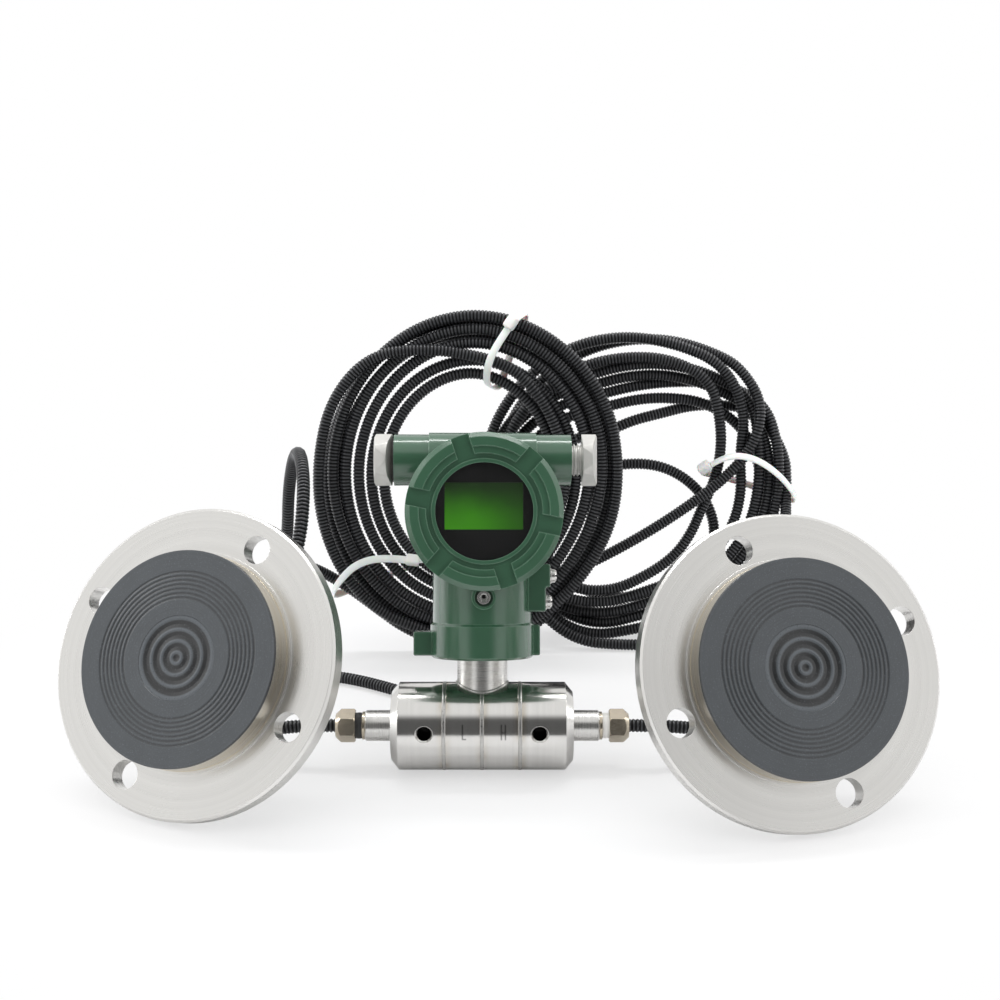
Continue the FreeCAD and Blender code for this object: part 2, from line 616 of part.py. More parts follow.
def housing():
    """Cast case: two threaded compartments, conduit hubs, neck, foot, lugs and ground pad."""
    case = turned("case_outside", [
        ("0", "-case_half"), ("cover_thread", "-case_half"), ("cover_thread", "-shoulder"),
        ("case_radius", "-shoulder"), ("case_radius", "shoulder"), ("cover_thread", "shoulder"),
        ("cover_thread", "case_half"), ("0", "case_half")], "XY_Plane", "V_Axis")
    bind(case, "Placement", placed(z="case_height"))
    collar_top = "(collar_bottom + collar_height)"
    foot = turned("foot_outside", [
        ("0", "collar_bottom"), ("collar_radius - collar_chamfer", "collar_bottom"),
        ("collar_radius", "collar_bottom + collar_chamfer"),
        ("collar_radius", f"{collar_top} - collar_chamfer"),
        ("neck_radius", collar_top), ("neck_radius", "case_height"), ("0", "case_height")],
        "XZ_Plane", "V_Axis")
    hub = cylinder("hub_outside", "hub_radius", "hub_length",
                   ("-hub_length / 2", "0", "hub_height"), ALONG_X)
    root = cylinder("hub_root", "hub_root_radius", "hub_root_length",
                    ("-hub_root_length / 2", "0", "hub_height"), ALONG_X)
    lug_low = "(collar_bottom + lug_rise)"
    lug = cast_block("foot_lug", "lug_width", [
        ("-lug_reach", lug_low), ("0", lug_low), ("0", f"{lug_low} + lug_height"),
        ("-lug_reach", f"{lug_low} + lug_height")])
    small_lug = cast_block("small_foot_lug", "lug_width", [
        ("0", lug_low), ("small_lug_reach", lug_low), ("small_lug_reach", f"{lug_low} + small_lug_height"),
        ("0", f"{lug_low} + small_lug_height")])
    pad = cast_block("ground_pad", "pad_width", [
        ("0", "pad_bottom"), ("pad_reach", "pad_bottom"), ("pad_reach", "pad_step_height"),
        ("pad_reach + pad_step", "pad_step_height"), ("pad_reach + pad_step", "pad_top"), ("0", "pad_top")])
    lock = cylinder("lock_boss_outside", "lock_boss", "lock_front", ("0", "0", LOCK_HEIGHT), TO_FRONT)
    outside = fused("housing_outside", [case, foot, hub, root, lug, small_lug, pad, lock])

    wall_back = "(bulkhead_wall - bulkhead_front)"
    front_room = cylinder("front_compartment", "cavity_radius", "case_half - bulkhead_front + 1",
                          ("0", "-bulkhead_front", "case_height"), TO_FRONT)
    rear_room = cylinder("rear_compartment", "cavity_radius", f"case_half - {wall_back} + 1",
                         ("0", wall_back, "case_height"), TO_BACK)
    conduit = cylinder("conduit_way", "conduit_radius", "hub_length + 2",
                       ("-hub_length / 2 - 1", "0", "hub_height"), ALONG_X)
    bearing = cylinder("bearing_bore", "journal_radius + fit_gap", "bearing_length + 2",
                       ("0", "0", "collar_bottom - 1"))
    neck_room = cylinder("neck_compartment", "neck_radius - neck_wall",
                         "case_height - cavity_radius + 2 - collar_bottom - bearing_length",
                         ("0", "0", "collar_bottom + bearing_length"))
    cover_way = cylinder("cover_way", "cover_radius + free_gap * 2", "lock_front",
                         ("0", "-shoulder", "case_height"), TO_FRONT)
    thread_core = cylinder("cover_way_core", "cover_thread", "lock_front",
                           ("0", "-shoulder", "case_height"), TO_FRONT)
    cover_ring = cut("cover_way_ring", cover_way, [thread_core])
    recess = cylinder("lock_recess_bore", "lock_recess", "lock_recess_depth + 1",
                      ("0", "lock_recess_depth - lock_front", LOCK_HEIGHT), TO_FRONT)
    lock_hole = cylinder("lock_hole", "lock_shank + fit_gap", "lock_shank_length + lock_recess_depth + 1",
                         ("0", "lock_recess_depth + lock_shank_length - lock_front", LOCK_HEIGHT), TO_FRONT)
    ground = []
    for level, reach in (("low", "pad_reach"), ("high", "(pad_reach + pad_step)")):
        ground.append(cylinder(f"ground_hole_{level}", "ground_shank + fit_gap", "ground_depth + 1",
                               (f"{reach} - ground_depth", "0", f"ground_{level}"), ALONG_X))
    finish(cut("housing", outside, [front_room, rear_room, conduit, bearing, neck_room, cover_ring,
                                    recess, lock_hole] + ground), "housing", HOUSING)


def cast_block(name, width, points):
    """Cast lug: an outline seen from the front, as deep as its width, with every edge rounded."""
    body = new_body(name)
    sketch = outline(new_sketch(body, "XZ_Plane", "outline"), points)
    pad = body.newObject("PartDesign::Pad", name + "_pad")
    pad.Profile = sketch
    pad.Midplane = True
    bind(pad, "Length", width)
    doc.recompute()
    rounded = body.newObject("PartDesign::Fillet", name + "_rounded")
    rounded.Base = (pad, [f"Edge{index + 1}" for index in range(len(pad.Shape.Edges))])
    bind(rounded, "Radius", "cast_round")
    return body


def conduit_plug(name, side, stand, length, ridges):
    """Hexagon plug: a shank in the hub, its bare thread ridges, then the hexagon with a bevelled edge."""
    face = f"{side} * (hub_length / 2 + {stand})"
    end = f"{face} + {side} * {length}"
    root = f"{side} * (hub_length / 2 - plug_shank)"
    corner = "plug_flats / 2 / cos(30)"
    start = face if side > 0 else end
    prism = primitive("Prism", name + "_hexagon", (start, "0", "0"), ("0", "90", "15"),
                      Circumradius=corner, Height=length)
    blank = turned(name + "_blank", [
        (face, "0"), (face, corner), (f"{end} - {side} * plug_chamfer / 2", corner),
        (end, f"{corner} - plug_chamfer"), (end, "0")])
    head = common(name + "_head", prism, blank)
    crest = "conduit_radius - fit_gap"
    thread = []
    for ridge in range(ridges):
        for share, depth in ((0.15, "0"), (0.35, "plug_groove"), (0.65, "plug_groove"), (0.85, "0")):
            x = f"{side} * (hub_length / 2 + {stand} * ({ridge} + {share}) / {ridges})"
            thread.append((x, f"{crest} - {depth}"))
    shank = turned(name + "_shank", [(root, "0"), (root, f"{crest} - 1"), (f"{root} + {side}", crest)]
                   + thread + [(face, crest), (face, "0")])
    finish(fused(name, [head, shank]), name, HOUSING + " * " + placed(z="hub_height"))


def plug_seal():
    start = "-hub_length / 2"
    end = "-hub_length / 2 - plug_seal_width"
    finish(turned("plug_seal", [(start, "conduit_radius"), (start, "plug_seal_radius"),
                                (end, "plug_seal_radius"), (end, "conduit_radius")]),
           "plug_seal", HOUSING + " * " + placed(z="hub_height"))


def cover_lock_screw():
    """Socket head screw in the lock boss."""
    seat = "lock_recess_depth - lock_front"
    head = cylinder("lock_screw_head", "lock_head", "lock_head_height", ("0", seat, LOCK_HEIGHT), TO_FRONT)
    shank = cylinder("lock_screw_shank", "lock_shank", "lock_shank_length",
                     ("0", f"{seat} + lock_shank_length", LOCK_HEIGHT), TO_FRONT)
    key = primitive("Prism", "lock_screw_key", ("0", f"{seat} - lock_head_height / 2", LOCK_HEIGHT),
                    TO_FRONT, Circumradius="socket_flats / 2 / cos(30)", Height="lock_head_height")
    finish(cut("cover_lock_screw", fused("lock_screw_blank", [head, shank]), [key]),
           "cover_lock_screw", HOUSING)


def ground_terminals():
    """Two ground screws with their washers on the stepped pad."""
    screws = []
    washers = []
    for level, reach in (("low", "pad_reach"), ("high", "(pad_reach + pad_step)")):
        face = f"{reach} + ground_washer_width"
        end = f"{face} + ground_head_height"
        screw = turned(f"ground_screw_{level}", [
            (f"{reach} - ground_depth", "0"), (f"{reach} - ground_depth", "ground_shank"),
            (face, "ground_shank"), (face, "ground_head"), (f"{end} - 1.2", "ground_head"),
            (end, "ground_head - 1.6"), (end, "0")])
        bind(screw, "Placement", placed(z=f"ground_{level}"))
        slot = box(f"ground_slot_{level}",
                   (f"{end} - ground_slot", "-ground_head - 1", f"ground_{level} - ground_slot / 2"),
                   ("ground_slot + 1", "ground_head * 2 + 2", "ground_slot"))
        screws.append(cut(f"ground_screw_{level}_slotted", screw, [slot]))
        washer = turned(f"ground_washer_{level}", [
            (reach, "ground_shank + fit_gap"), (reach, "ground_washer"), (face, "ground_washer"),
            (face, "ground_shank + fit_gap")])
        bind(washer, "Placement", placed(z=f"ground_{level}"))
        washers.append(washer)
    finish(group("ground_screws", screws), "ground_screws", HOUSING)
    finish(group("ground_washers", washers), "ground_washers", HOUSING)


def display():
    """Black bezel with a screen behind its opening, on a board held by four spacers."""
    bezel = turned("bezel_disc", [
        ("0", "-bezel_front"), ("bezel_radius", "-bezel_front"),
        ("bezel_radius", "bezel_width - bezel_front"), ("0", "bezel_width - bezel_front")],
        "XY_Plane", "V_Axis")
    sketch = new_sketch(bezel, "XZ_Plane", "opening")
    rectangle(sketch, "-screen_width / 2", "screen_width / 2",
              "screen_rise - screen_height / 2", "screen_rise + screen_height / 2")
    pocket(bezel, sketch, "window")
    finish(bezel, "display_bezel", CASE)

    back = "(bezel_front - bezel_width)"
    finish(box("lcd_panel", ("0", "0", "0"),
               ("screen_width + screen_margin * 2", "screen_thickness", "screen_height + screen_margin * 2")),
           "lcd_panel", CASE + " * " + placed("-screen_width / 2 - screen_margin", f"-{back}",
                                              "screen_rise - screen_height / 2 - screen_margin"))
    board_front = f"({back} - screen_thickness)"
    board_back = f"({board_front} - board_width)"
    finish(turned("display_board", [
        ("0", f"-{board_front}"), ("board_radius", f"-{board_front}"),
        ("board_radius", f"-{board_back}"), ("0", f"-{board_back}")], "XY_Plane", "V_Axis"),
        "display_board", CASE)
    spacers = []
    for index in range(4):
        angle = 45 + 90 * index
        spacers.append(cylinder(f"spacer_{index}", "spacer_radius", f"{board_back} - bulkhead_front",
                                (f"spacer_circle * cos({angle})", "-bulkhead_front",
                                 f"spacer_circle * sin({angle})"), TO_FRONT))
    finish(group("board_spacers", spacers), "board_spacers", CASE)


def terminals():
    """Terminal block on the rear face of the wall, with three clamp screws."""
    wall = "(bulkhead_wall - bulkhead_front)"
    block = box("terminal_blank", ("-terminal_width / 2", wall, "-terminal_height / 2"),
                ("terminal_width", "terminal_depth", "terminal_height"))
    heads = []
    seats = []
    for index in (-1, 0, 1):
        x = f"{index} * terminal_pitch"
        face = f"{wall} + terminal_depth"
        seat = (x, f"{face} - terminal_head_height", "0")
        seats.append(cylinder(f"terminal_seat_{index + 1}", "terminal_head + fit_gap",
                              "terminal_head_height + 1", seat, TO_BACK))
        heads.append(cylinder(f"terminal_screw_{index + 1}", "terminal_head", "terminal_head_height",
                              seat, TO_BACK))
    finish(cut("terminal_block", block, seats), "terminal_block", CASE)
    finish(group("terminal_screws", heads), "terminal_screws", CASE)


# Covers

def cover_skirt(centre):
    """Outline of a cover from its skirt to its shelf, closed by the centre's own points."""
    seat = "(shoulder + free_gap)"
    seal_end = f"({seat} + seal_width + free_gap * 2)"
    return [("seal_outer + free_gap", f"-{seat}"), ("cover_radius - 1", f"-{seat}"),
            ("cover_radius", f"-{seat} - 1"), ("cover_radius", "cover_edge_drop * 2 - cover_top"),
            ("cover_radius - cover_edge", "cover_edge_drop / 3 - cover_top"),
            ("shelf_outer", "-cover_top"), ("shelf_outer", "-cover_shelf"),
            ("shelf_inner", "-cover_shelf"), ("shelf_inner", "-cover_floor")] + centre + [
            ("cover_thread + fit_gap", "-cover_inside"), ("cover_thread + fit_gap", f"-{seal_end}"),
            ("seal_outer + free_gap", f"-{seal_end}")]


def cover(name, centre, frame):
    """Screwed cover with wrench notches cut down to its floor."""
    body = turned(name, cover_skirt(centre), "XY_Plane", "V_Axis")
    sketch = new_sketch(body, "XZ_Plane", "notch", "cover_top")
    rectangle(sketch, "shelf_inner - 0.5", "cover_radius + 1", "-notch_width / 2", "notch_width / 2")
    notch = pocket(body, sketch, "notch_cut", "cover_top - cover_floor")
    doc.recompute()
    ring_of(body, notch, sketch, "notch_count", "notches")
    finish(body, name, frame)


def front_cover():
    cover("front_cover", [
        ("rim_radius", "-cover_floor"), ("rim_radius", "-rim_top"), ("window_radius", "-rim_top"),
        ("window_radius", "-glass_seat"), ("glass_radius + fit_gap", "-glass_seat"),
        ("glass_radius + fit_gap", "-cover_inside")], FRONT_COVER)


def rear_cover():
    cover("rear_cover", [("0", "-cover_floor"), ("0", "-cover_inside")], REAR_COVER)


def window():
    """Gasket, glass and retaining ring, stacked in the front cover from its seat inwards."""
    layers = [("window_gasket", "window_radius + 0.4", "0", "gasket_width"),
              ("window_glass", "0", "gasket_width", "glass_width"),
              ("glass_retainer", "window_radius + 0.4", "(gasket_width + glass_width)",
               "(glass_seat - cover_inside - gasket_width - glass_width)")]
    for name, inner, start, width in layers:
        outer_face = f"{start} - glass_seat"
        inner_face = f"{start} + {width} - glass_seat"
        finish(turned(name, [(inner, outer_face), ("glass_radius", outer_face),
                             ("glass_radius", inner_face), (inner, inner_face)], "XY_Plane", "V_Axis"),
               name, FRONT_COVER)


def cover_seal(name, frame):
    """Seal ring on the case thread, in the cover's counterbore."""
    face = "-(shoulder + free_gap * 1.5)"
    back = f"{face} - seal_width"
    finish(turned(name, [("cover_thread + fit_gap", face), ("seal_outer", face), ("seal_outer", back),
                         ("cover_thread + fit_gap", back)], "XY_Plane", "V_Axis"), name, frame)


# Flanged seals

def flange(name, side):
    """Plate with a bevelled rim, bolt holes, a turned boss in front and a hub behind."""
    seat = "boss_height - disc_thickness"
    back = "-flange_thickness - back_hub_length"
    body = turned(name, [
        ("0", back), ("back_hub_radius - back_hub_chamfer", back),
        ("back_hub_radius", f"{back} + back_hub_chamfer"), ("back_hub_radius", "-flange_thickness"),
        ("flange_radius", "-flange_thickness"), ("flange_radius", "-flange_bevel"),
        ("flange_radius - flange_bevel", "0"), ("step_radius", "0"), ("step_radius", "step_height"),
        ("boss_radius", "step_height"), ("boss_radius", seat), ("0", seat)], "XZ_Plane", "V_Axis")
    sketch = new_sketch(body, "XY_Plane", "hole")
    circle(sketch, f"bolt_circle / 2 * cos({side}_flange_roll_angle)",
           f"bolt_circle / 2 * sin({side}_flange_roll_angle)", "bolt_radius")
    hole = pocket(body, sketch, "bolt_hole")
    doc.recompute()
    ring_of(body, hole, sketch, "bolt_count", "bolt_holes")
    finish(body, name, flange_frame(side))


def diaphragm(name, side):
    """Corrugated disc: a pit and coarse rings in a recess, then fine rings on the flat face."""
    face = "boss_height"
    crest = f"{face} - coarse_sink"
    points = [("0", f"{crest} - coarse_depth")]
    for ring in range(int(number("coarse_count"))):
        points += [(f"coarse_pitch * ({ring} + 0.5)", crest),
                   (f"coarse_pitch * ({ring} + 1)", f"{crest} - coarse_depth")]
    points += [("coarse_pitch * (coarse_count + 0.5)", crest), ("coarse_edge", crest),
               ("coarse_edge + 0.3", face)]
    for ring in range(int(number("fine_count"))):
        middle = f"fine_start + fine_pitch * {ring}"
        points += [(f"{middle} - fine_pitch * 0.45", face), (middle, f"{face} - fine_depth"),
                   (f"{middle} + fine_pitch * 0.45", face)]
    points += [("boss_radius - 0.4", face), ("boss_radius", f"{face} - 0.4"),
               ("boss_radius", f"{face} - disc_thickness"), ("0", f"{face} - disc_thickness")]
    finish(turned(name, points, "XZ_Plane", "V_Axis"), name, flange_frame(side))


def gland_frame(side):
    """On the hub, its axis along the flange's face at the gland's angle."""
    return (flange_frame(side) + " * "
            + placed(z="-flange_thickness - back_hub_length / 2", yaw=f"{side}_gland_angle"))


def gland(name, side):
    """Hose gland saddled on the hub: stem, collar and the sleeve that grips the hose."""
    collar_end = "gland_collar_from + gland_collar_width"
    bottom = "gland_end - gland_grip"
    body = turned(name + "_blank", [
        ("0", "0"), ("0", "gland_stem"), ("gland_collar_from", "gland_stem"),
        ("gland_collar_from", "gland_collar"), (collar_end, "gland_collar"), (collar_end, "gland_sleeve"),
        ("gland_end - 1", "gland_sleeve"), ("gland_end", "gland_sleeve - 0.6"),
        ("gland_end", "hose_radius + fit_gap"), (bottom, "hose_radius + fit_gap"), (bottom, "0")])
    hub = cylinder(name + "_saddle", "back_hub_radius", "back_hub_length", ("0", "0", "-back_hub_length / 2"))
    finish(cut(name, body, [hub]), name, gland_frame(side))


def fill_screw(name, side):
    """Oil fill screw behind the hub."""
    prism = primitive("Prism", name, ("0", "0", "0"), Circumradius="fill_screw_flats / 2 / cos(30)",
                      Height="fill_screw_head")
    seat = placed(z="-flange_thickness - back_hub_length - fill_screw_head")
    finish(prism, name, flange_frame(side) + " * " + seat)


# Free hoses

def world(frame, point):
    """A point of a frame, in the row's own frame."""
    placement = sheet.evalExpression(frame)
    return placement.multVec(FreeCAD.Vector(*point))


def hose_path(label, points):
    """Straight runs joined by tangent arcs, each as large as its two runs allow."""
    edges = []
    radii = []
    last = points[0]
    for before, corner, after in zip(points, points[1:], points[2:]):
        way_in = (corner - before).normalize()
        way_out = (after - corner).normalize()
        turn = way_in.getAngle(way_out)
        reach = 0.45 * min((corner - before).Length, (after - corner).Length)
        radii.append(reach / math.tan(turn / 2))
        start = corner - way_in * reach
        end = corner + way_out * reach
        inward = (way_out - way_in).normalize()
        middle = corner + inward * (radii[-1] / math.cos(turn / 2) - radii[-1])
        edges.append(Part.LineSegment(last, start).toShape())
        edges.append(Part.Arc(start, middle, end).toShape())
        last = end
    edges.append(Part.LineSegment(last, points[-1]).toShape())
    print(label, "radii", [round(radius) for radius in radii])
    return Part.Wire(edges)


def hose(label, points):
    """Plain tube of hose along its route."""
    item = tube(label, points)
    item.Label = label
    pieces.append(item)


def tube(label, points):
    path = hose_path(label, points)
    radius = number("hose_radius")
    direction = points[1] - points[0]
    section = Part.Wire(Part.Circle(points[0], direction, radius).toShape())
    solid = path.makePipeShell([section], True, False)
    share = solid.Volume / (math.pi * radius ** 2 * path.Length)
    print(label, "length", round(path.Length), "volume share", round(share, 4))
    item = doc.addObject("Part::Feature", label)
    item.Shape = solid
    item.Placement = FreeCAD.Placement()
    return item


def hoses():
    tip = number("barrel_length / 2 + stub_length + union_reach + nut_grip")
    grip = number("gland_end - gland_grip")
    run = number("hose_run")
    for side, sign, lead, tail in (("left", -1, LEFT_LEAD, LEFT_TAIL), ("right", 1, RIGHT_LEAD, RIGHT_TAIL)):
        nut = [world(TRANSMITTER, (sign * reach, 0, 0)) for reach in (tip, tip + run)]
        hose(f"{side}_hose_lead", nut + [FreeCAD.Vector(*point) for point in lead])
        socket = [world(gland_frame(side), (reach, 0, 0)) for reach in (grip, grip + run)]
        hose(f"{side}_hose_tail", socket + [FreeCAD.Vector(*point) for point in tail])


def hose_coil(name, side, strands):
    """Outer shape of a tied coil of hose: an oval ring with rounded edges, and its loose strands."""
    body = new_body(name + "_ring")
    sketch = new_sketch(body, "XZ_Plane", "outline")
    for inset in ("0", f"{side}_coil_band"):
        width = number(f"{side}_coil_half_width - {inset}")
        height = number(f"{side}_coil_half_height - {inset}")
        along = FreeCAD.Vector(width, 0, 0)
        up = FreeCAD.Vector(0, height, 0)
        centre = FreeCAD.Vector(0, 0, 0)
        oval = Part.Ellipse(along, up, centre) if width > height else Part.Ellipse(up, -along, centre)
        sketch.addGeometry(oval, False)
    pad = body.newObject("PartDesign::Pad", name + "_pad")
    pad.Profile = sketch
    pad.Midplane = True
    bind(pad, "Length", "coil_depth")
    doc.recompute()
    rounded = body.newObject("PartDesign::Fillet", name + "_rounded")
    rounded.Base = (pad, [f"Edge{index + 1}" for index in range(len(pad.Shape.Edges))])
    bind(rounded, "Radius", "coil_round")
    bind(body, "Placement", coil_frame(side))
    loose = []
    for index, points in enumerate(strands):
        loose.append(tube(f"{name}_strand_{index}", [FreeCAD.Vector(*point) for point in points]))
    if loose:
        finish(fused(name, [body] + loose), name, placed())
    else:
        finish(body, name, coil_frame(side))


def cable_tie(name, side, angle, end):
    """Nylon strap round the coil's band: its square head is on the front, at the outer or inner end."""
    width = f"{side}_coil_half_width"
    height = f"{side}_coil_half_height"
    half = f"{side}_coil_band / 2"
    band = f"({half} + free_gap)"
    depth = "(coil_depth / 2 + free_gap)"
    body = new_body(name + "_strap")
    sketch = new_sketch(body, "XY_Plane", "loop")
    for margin in ("0", "tie_thickness"):
        rounded_loop(sketch, f"({band} + {margin})", f"({depth} + {margin})", f"(coil_round + {margin})")
    pad = body.newObject("PartDesign::Pad", name + "_pad")
    pad.Profile = sketch
    pad.Midplane = True
    bind(pad, "Length", "tie_width")
    middle = f"{end} * ({half} - coil_round)"
    front = f"-{depth} - tie_thickness - tie_head_height"
    head = box(name + "_head", (f"{middle} - tie_head / 2", front, "-tie_head / 2"),
               ("tie_head", "tie_head_height + tie_thickness / 2", "tie_head"))
    tail_middle = f"{middle} + {end} * (tie_head + tie_tail) / 2"
    tail = box(name + "_tail",
               (f"{tail_middle} - tie_tail / 2", f"{front} + tie_head_height / 2", "-tie_width / 2"),
               ("tie_tail", "tie_thickness", "tie_width"))
    where = placed(f"({width} - {half}) * cos({angle})", "0",
                   f"({height} - {half}) * sin({angle})", "0", f"-{angle}", "0")
    finish(fused(name, [body, head, tail]), name, coil_frame(side) + " * " + where)


def rounded_loop(sketch, half_width, half_height, radius):
    """Rectangle with rounded corners about the origin, as four lines and four tangent arcs."""
    wide = number(half_width)
    high = number(half_height)
    corner = number(radius)
    first = sketch.GeometryCount
    normal = FreeCAD.Vector(0, 0, 1)
    for sign_x, sign_y, start in ((1, 1, 0), (-1, 1, 90), (-1, -1, 180), (1, -1, 270)):
        centre = FreeCAD.Vector(sign_x * (wide - corner), sign_y * (high - corner), 0)
        round_edge = Part.Circle(centre, normal, corner)
        arc = Part.ArcOfCircle(round_edge, math.radians(start), math.radians(start + 90))
        sketch.addGeometry(arc, False)
    for index in range(4):
        arc = sketch.Geometry[first + index]
        following = sketch.Geometry[first + (index + 1) % 4]
        sketch.addGeometry(Part.LineSegment(arc.EndPoint, following.StartPoint), False)
    for index in range(4):
        line = first + 4 + index
        sketch.addConstraint(Sketcher.Constraint("Tangent", first + index, 2, line, 1))
        sketch.addConstraint(Sketcher.Constraint("Tangent", line, 2, first + (index + 1) % 4, 1))
        sketch.addConstraint(Sketcher.Constraint("Horizontal" if index % 2 == 0 else "Vertical", line))
    for index in range(1, 4):
        sketch.addConstraint(Sketcher.Constraint("Equal", first, first + index))
    fix(sketch, "Radius", first, text=radius)
    fix(sketch, "DistanceX", first, 3, text=f"{half_width} - {radius}")
    fix(sketch, "DistanceY", first, 3, text=f"{half_height} - {radius}")
    fix(sketch, "DistanceX", first + 2, 3, text=f"{radius} - {half_width}")
    fix(sketch, "DistanceY", first + 2, 3, text=f"{radius} - {half_height}")


# Build

for side_name, side_sign in (("left", -1), ("right", 1)):
    end_block(f"end_block_{side_name}", side_sign)
    cell_half(f"cell_half_{side_name}", side_sign)
    isolator(f"isolating_diaphragm_{side_name}", side_sign)
    port_stub(f"port_stub_{side_name}", side_sign)
    union(f"union_{side_name}", side_sign)
    capillary_nut(f"capillary_nut_{side_name}", side_sign)
    flange(f"{side_name}_flange", side_name)
    diaphragm(f"{side_name}_diaphragm", side_name)
    gland(f"{side_name}_gland", side_name)
    fill_screw(f"{side_name}_fill_screw", side_name)
    hose_coil(f"{side_name}_hose_coil", side_name, RIGHT_STRANDS if side_name == "right" else [])
seam_welds()
sensor_capsule()
neck_ring("sealing_washer", -1, "washer_radius")
neck_ring("thread_tape", 1, "tape_radius")
sensor_stem()
stem_weld()
stem_snap_ring()
housing()
conduit_plug("conduit_plug_left", -1, "plug_seal_width", "plug_left_length", 0)
conduit_plug("conduit_plug_right", 1, "plug_right_stand", "plug_right_length", 3)
plug_seal()
cover_lock_screw()
ground_terminals()
display()
terminals()
front_cover()
window()
rear_cover()
cover_seal("front_cover_seal", CASE)
cover_seal("rear_cover_seal", REAR_COVER)
hoses()
cable_tie("left_upper_tie", "left", "left_upper_tie_angle", 1)
cable_tie("left_lower_tie", "left", "left_lower_tie_angle", -1)
cable_tie("right_tie", "right", "right_tie_angle", -1)
doc.recompute()

# Check and write

for item in doc.Objects:
    if "Invalid" in item.State or "Error" in item.State:
        raise RuntimeError(f"{item.Label} failed: {item.State}")
for piece in pieces:
    if piece.Shape.isNull() or not piece.Shape.isValid():
        raise RuntimeError(f"{piece.Label} has no valid shape")

os.makedirs("parts", exist_ok=True)
for piece in pieces:
    piece.Shape.exportStep(os.path.join("parts", piece.Label + ".step"))
print(len(pieces), "sub-parts written")
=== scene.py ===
import json
import math

import bpy
import numpy as np
from bpy.props import FloatProperty, FloatVectorProperty, IntProperty, PointerProperty
from mathutils import Matrix, Vector


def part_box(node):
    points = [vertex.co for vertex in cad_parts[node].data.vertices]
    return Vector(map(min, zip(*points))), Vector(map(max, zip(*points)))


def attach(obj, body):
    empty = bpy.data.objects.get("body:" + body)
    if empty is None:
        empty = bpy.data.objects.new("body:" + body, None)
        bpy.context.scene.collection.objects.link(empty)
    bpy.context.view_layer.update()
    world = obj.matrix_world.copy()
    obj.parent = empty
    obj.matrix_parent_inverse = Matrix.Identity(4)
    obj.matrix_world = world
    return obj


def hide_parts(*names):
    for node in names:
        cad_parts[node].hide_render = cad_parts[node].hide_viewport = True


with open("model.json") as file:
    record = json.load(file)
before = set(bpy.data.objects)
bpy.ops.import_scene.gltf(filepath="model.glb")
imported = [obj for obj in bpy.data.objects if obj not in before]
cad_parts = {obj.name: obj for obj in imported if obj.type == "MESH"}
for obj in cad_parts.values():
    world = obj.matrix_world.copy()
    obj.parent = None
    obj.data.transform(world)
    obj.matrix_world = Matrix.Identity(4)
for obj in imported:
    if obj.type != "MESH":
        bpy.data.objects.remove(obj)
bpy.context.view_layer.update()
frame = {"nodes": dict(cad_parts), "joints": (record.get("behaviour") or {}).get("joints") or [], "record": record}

bl_info = {
    "name": "Remote Seal Transmitter Looks",
    "version": (1, 1, 0),
    "blender": (4, 5, 0),
    "location": "View3D > Sidebar > Transmitter",
    "description": "Finishes, hoses, cable ties and studio for a flanged pressure transmitter",
    "category": "Object",
}

NODES = frame["nodes"]
MOUNTS = {mount["name"]: mount for mount in frame["record"]["mounts"]}
JOINTS = {joint["name"]: joint for joint in frame["joints"]}
MM = 0.001
TINY = 1e-9

# Colours that aren't among the settings
WHITE = (1.0, 1.0, 1.0, 1.0)
WASHER = (0.02, 0.02, 0.02)
TAPE = (0.8, 0.79, 0.76)
RUBBER = (0.015, 0.015, 0.015)
BEZEL = (0.003, 0.003, 0.0035)
BOARD = (0.02, 0.10, 0.04)
DARK_SCREEN = (0.006, 0.02, 0.003)
PALE_FLOOR = (0.86, 0.86, 0.87)

# Places that the finishes follow, in metres. A pair is a stretch over which a finish comes in.
SEAM_PLACE = 0.0245
SEAM_HEAT = (0.006, 0.0012)
BORE_MARGIN = 0.00012
BARREL_FRONT = -0.02
MARK_FOOT = 0.0318
MARK_HEIGHT = 0.0095
MARK_STROKE = 0.0010
LOW_MARK = -0.0200
LOW_WIDTH = 0.0029
HIGH_MARK = 0.0048
HIGH_WIDTH = 0.0036
BOSS_RADIUS = 0.0674
BOSS_FOOT = (0.0002, 0.0012)
DIAPHRAGM_FACE = 0.0183
DIAPHRAGM_MIDDLE = (0.0262, 0.0258)
# Heights over which the diaphragm's corrugation crests are painted brighter, a painted highlight
COARSE_CREST = (DIAPHRAGM_FACE - 0.0009, DIAPHRAGM_FACE - 0.0005)
SLIGHT_CREST = (DIAPHRAGM_FACE - 0.00022, DIAPHRAGM_FACE - 0.00004)
# Stretch across the screw socket's flats over which its painted shade comes in
LOCK_SOCKET = (0.0013, 0.0011)
SCREEN_MIDDLE = 0.0035
SCREEN_HALF_HEIGHT = 0.0148
SCREEN_SIDE = (0.030, -0.012)

# Radii over which the finishes round sharp edges, in metres
CAST_EDGE = 0.0009
SOFT_EDGE = 0.0005
FINE_EDGE = 0.0004
BEVEL_SAMPLES = 6

# Shares: the turn of a normal at an edge that is painted paler as a highlight, the height above which a rib's
# crest is painted paler as a highlight, and the tone of the side marks
EDGE_TURN = (0.01, 0.14)
RIB_CREST_HIGHLIGHT = (0.6, 1.0)
MARK_DARKNESS = 0.6


# Frames of the object

def axes_matrix(x_axis, y_axis, z_axis, centre):
    """Matrix whose columns are the three axes of a local frame, and its centre."""
    matrix = Matrix((x_axis, y_axis, z_axis)).transposed().to_4x4()
    matrix.translation = centre
    return matrix


def flange_frame(side):
    """Flange frame: centre of the plate's front face, +Z out of it."""
    bolts = MOUNTS[f"{side}_flange_bolts"]
    centre = Vector(bolts["pos_m"])
    normal = Vector(bolts["axis"]).normalized()
    across = (Vector(MOUNTS[f"{side}_flange_face"]["pos_m"]) - centre).normalized()
    return axes_matrix(across, normal.cross(across), normal, centre)


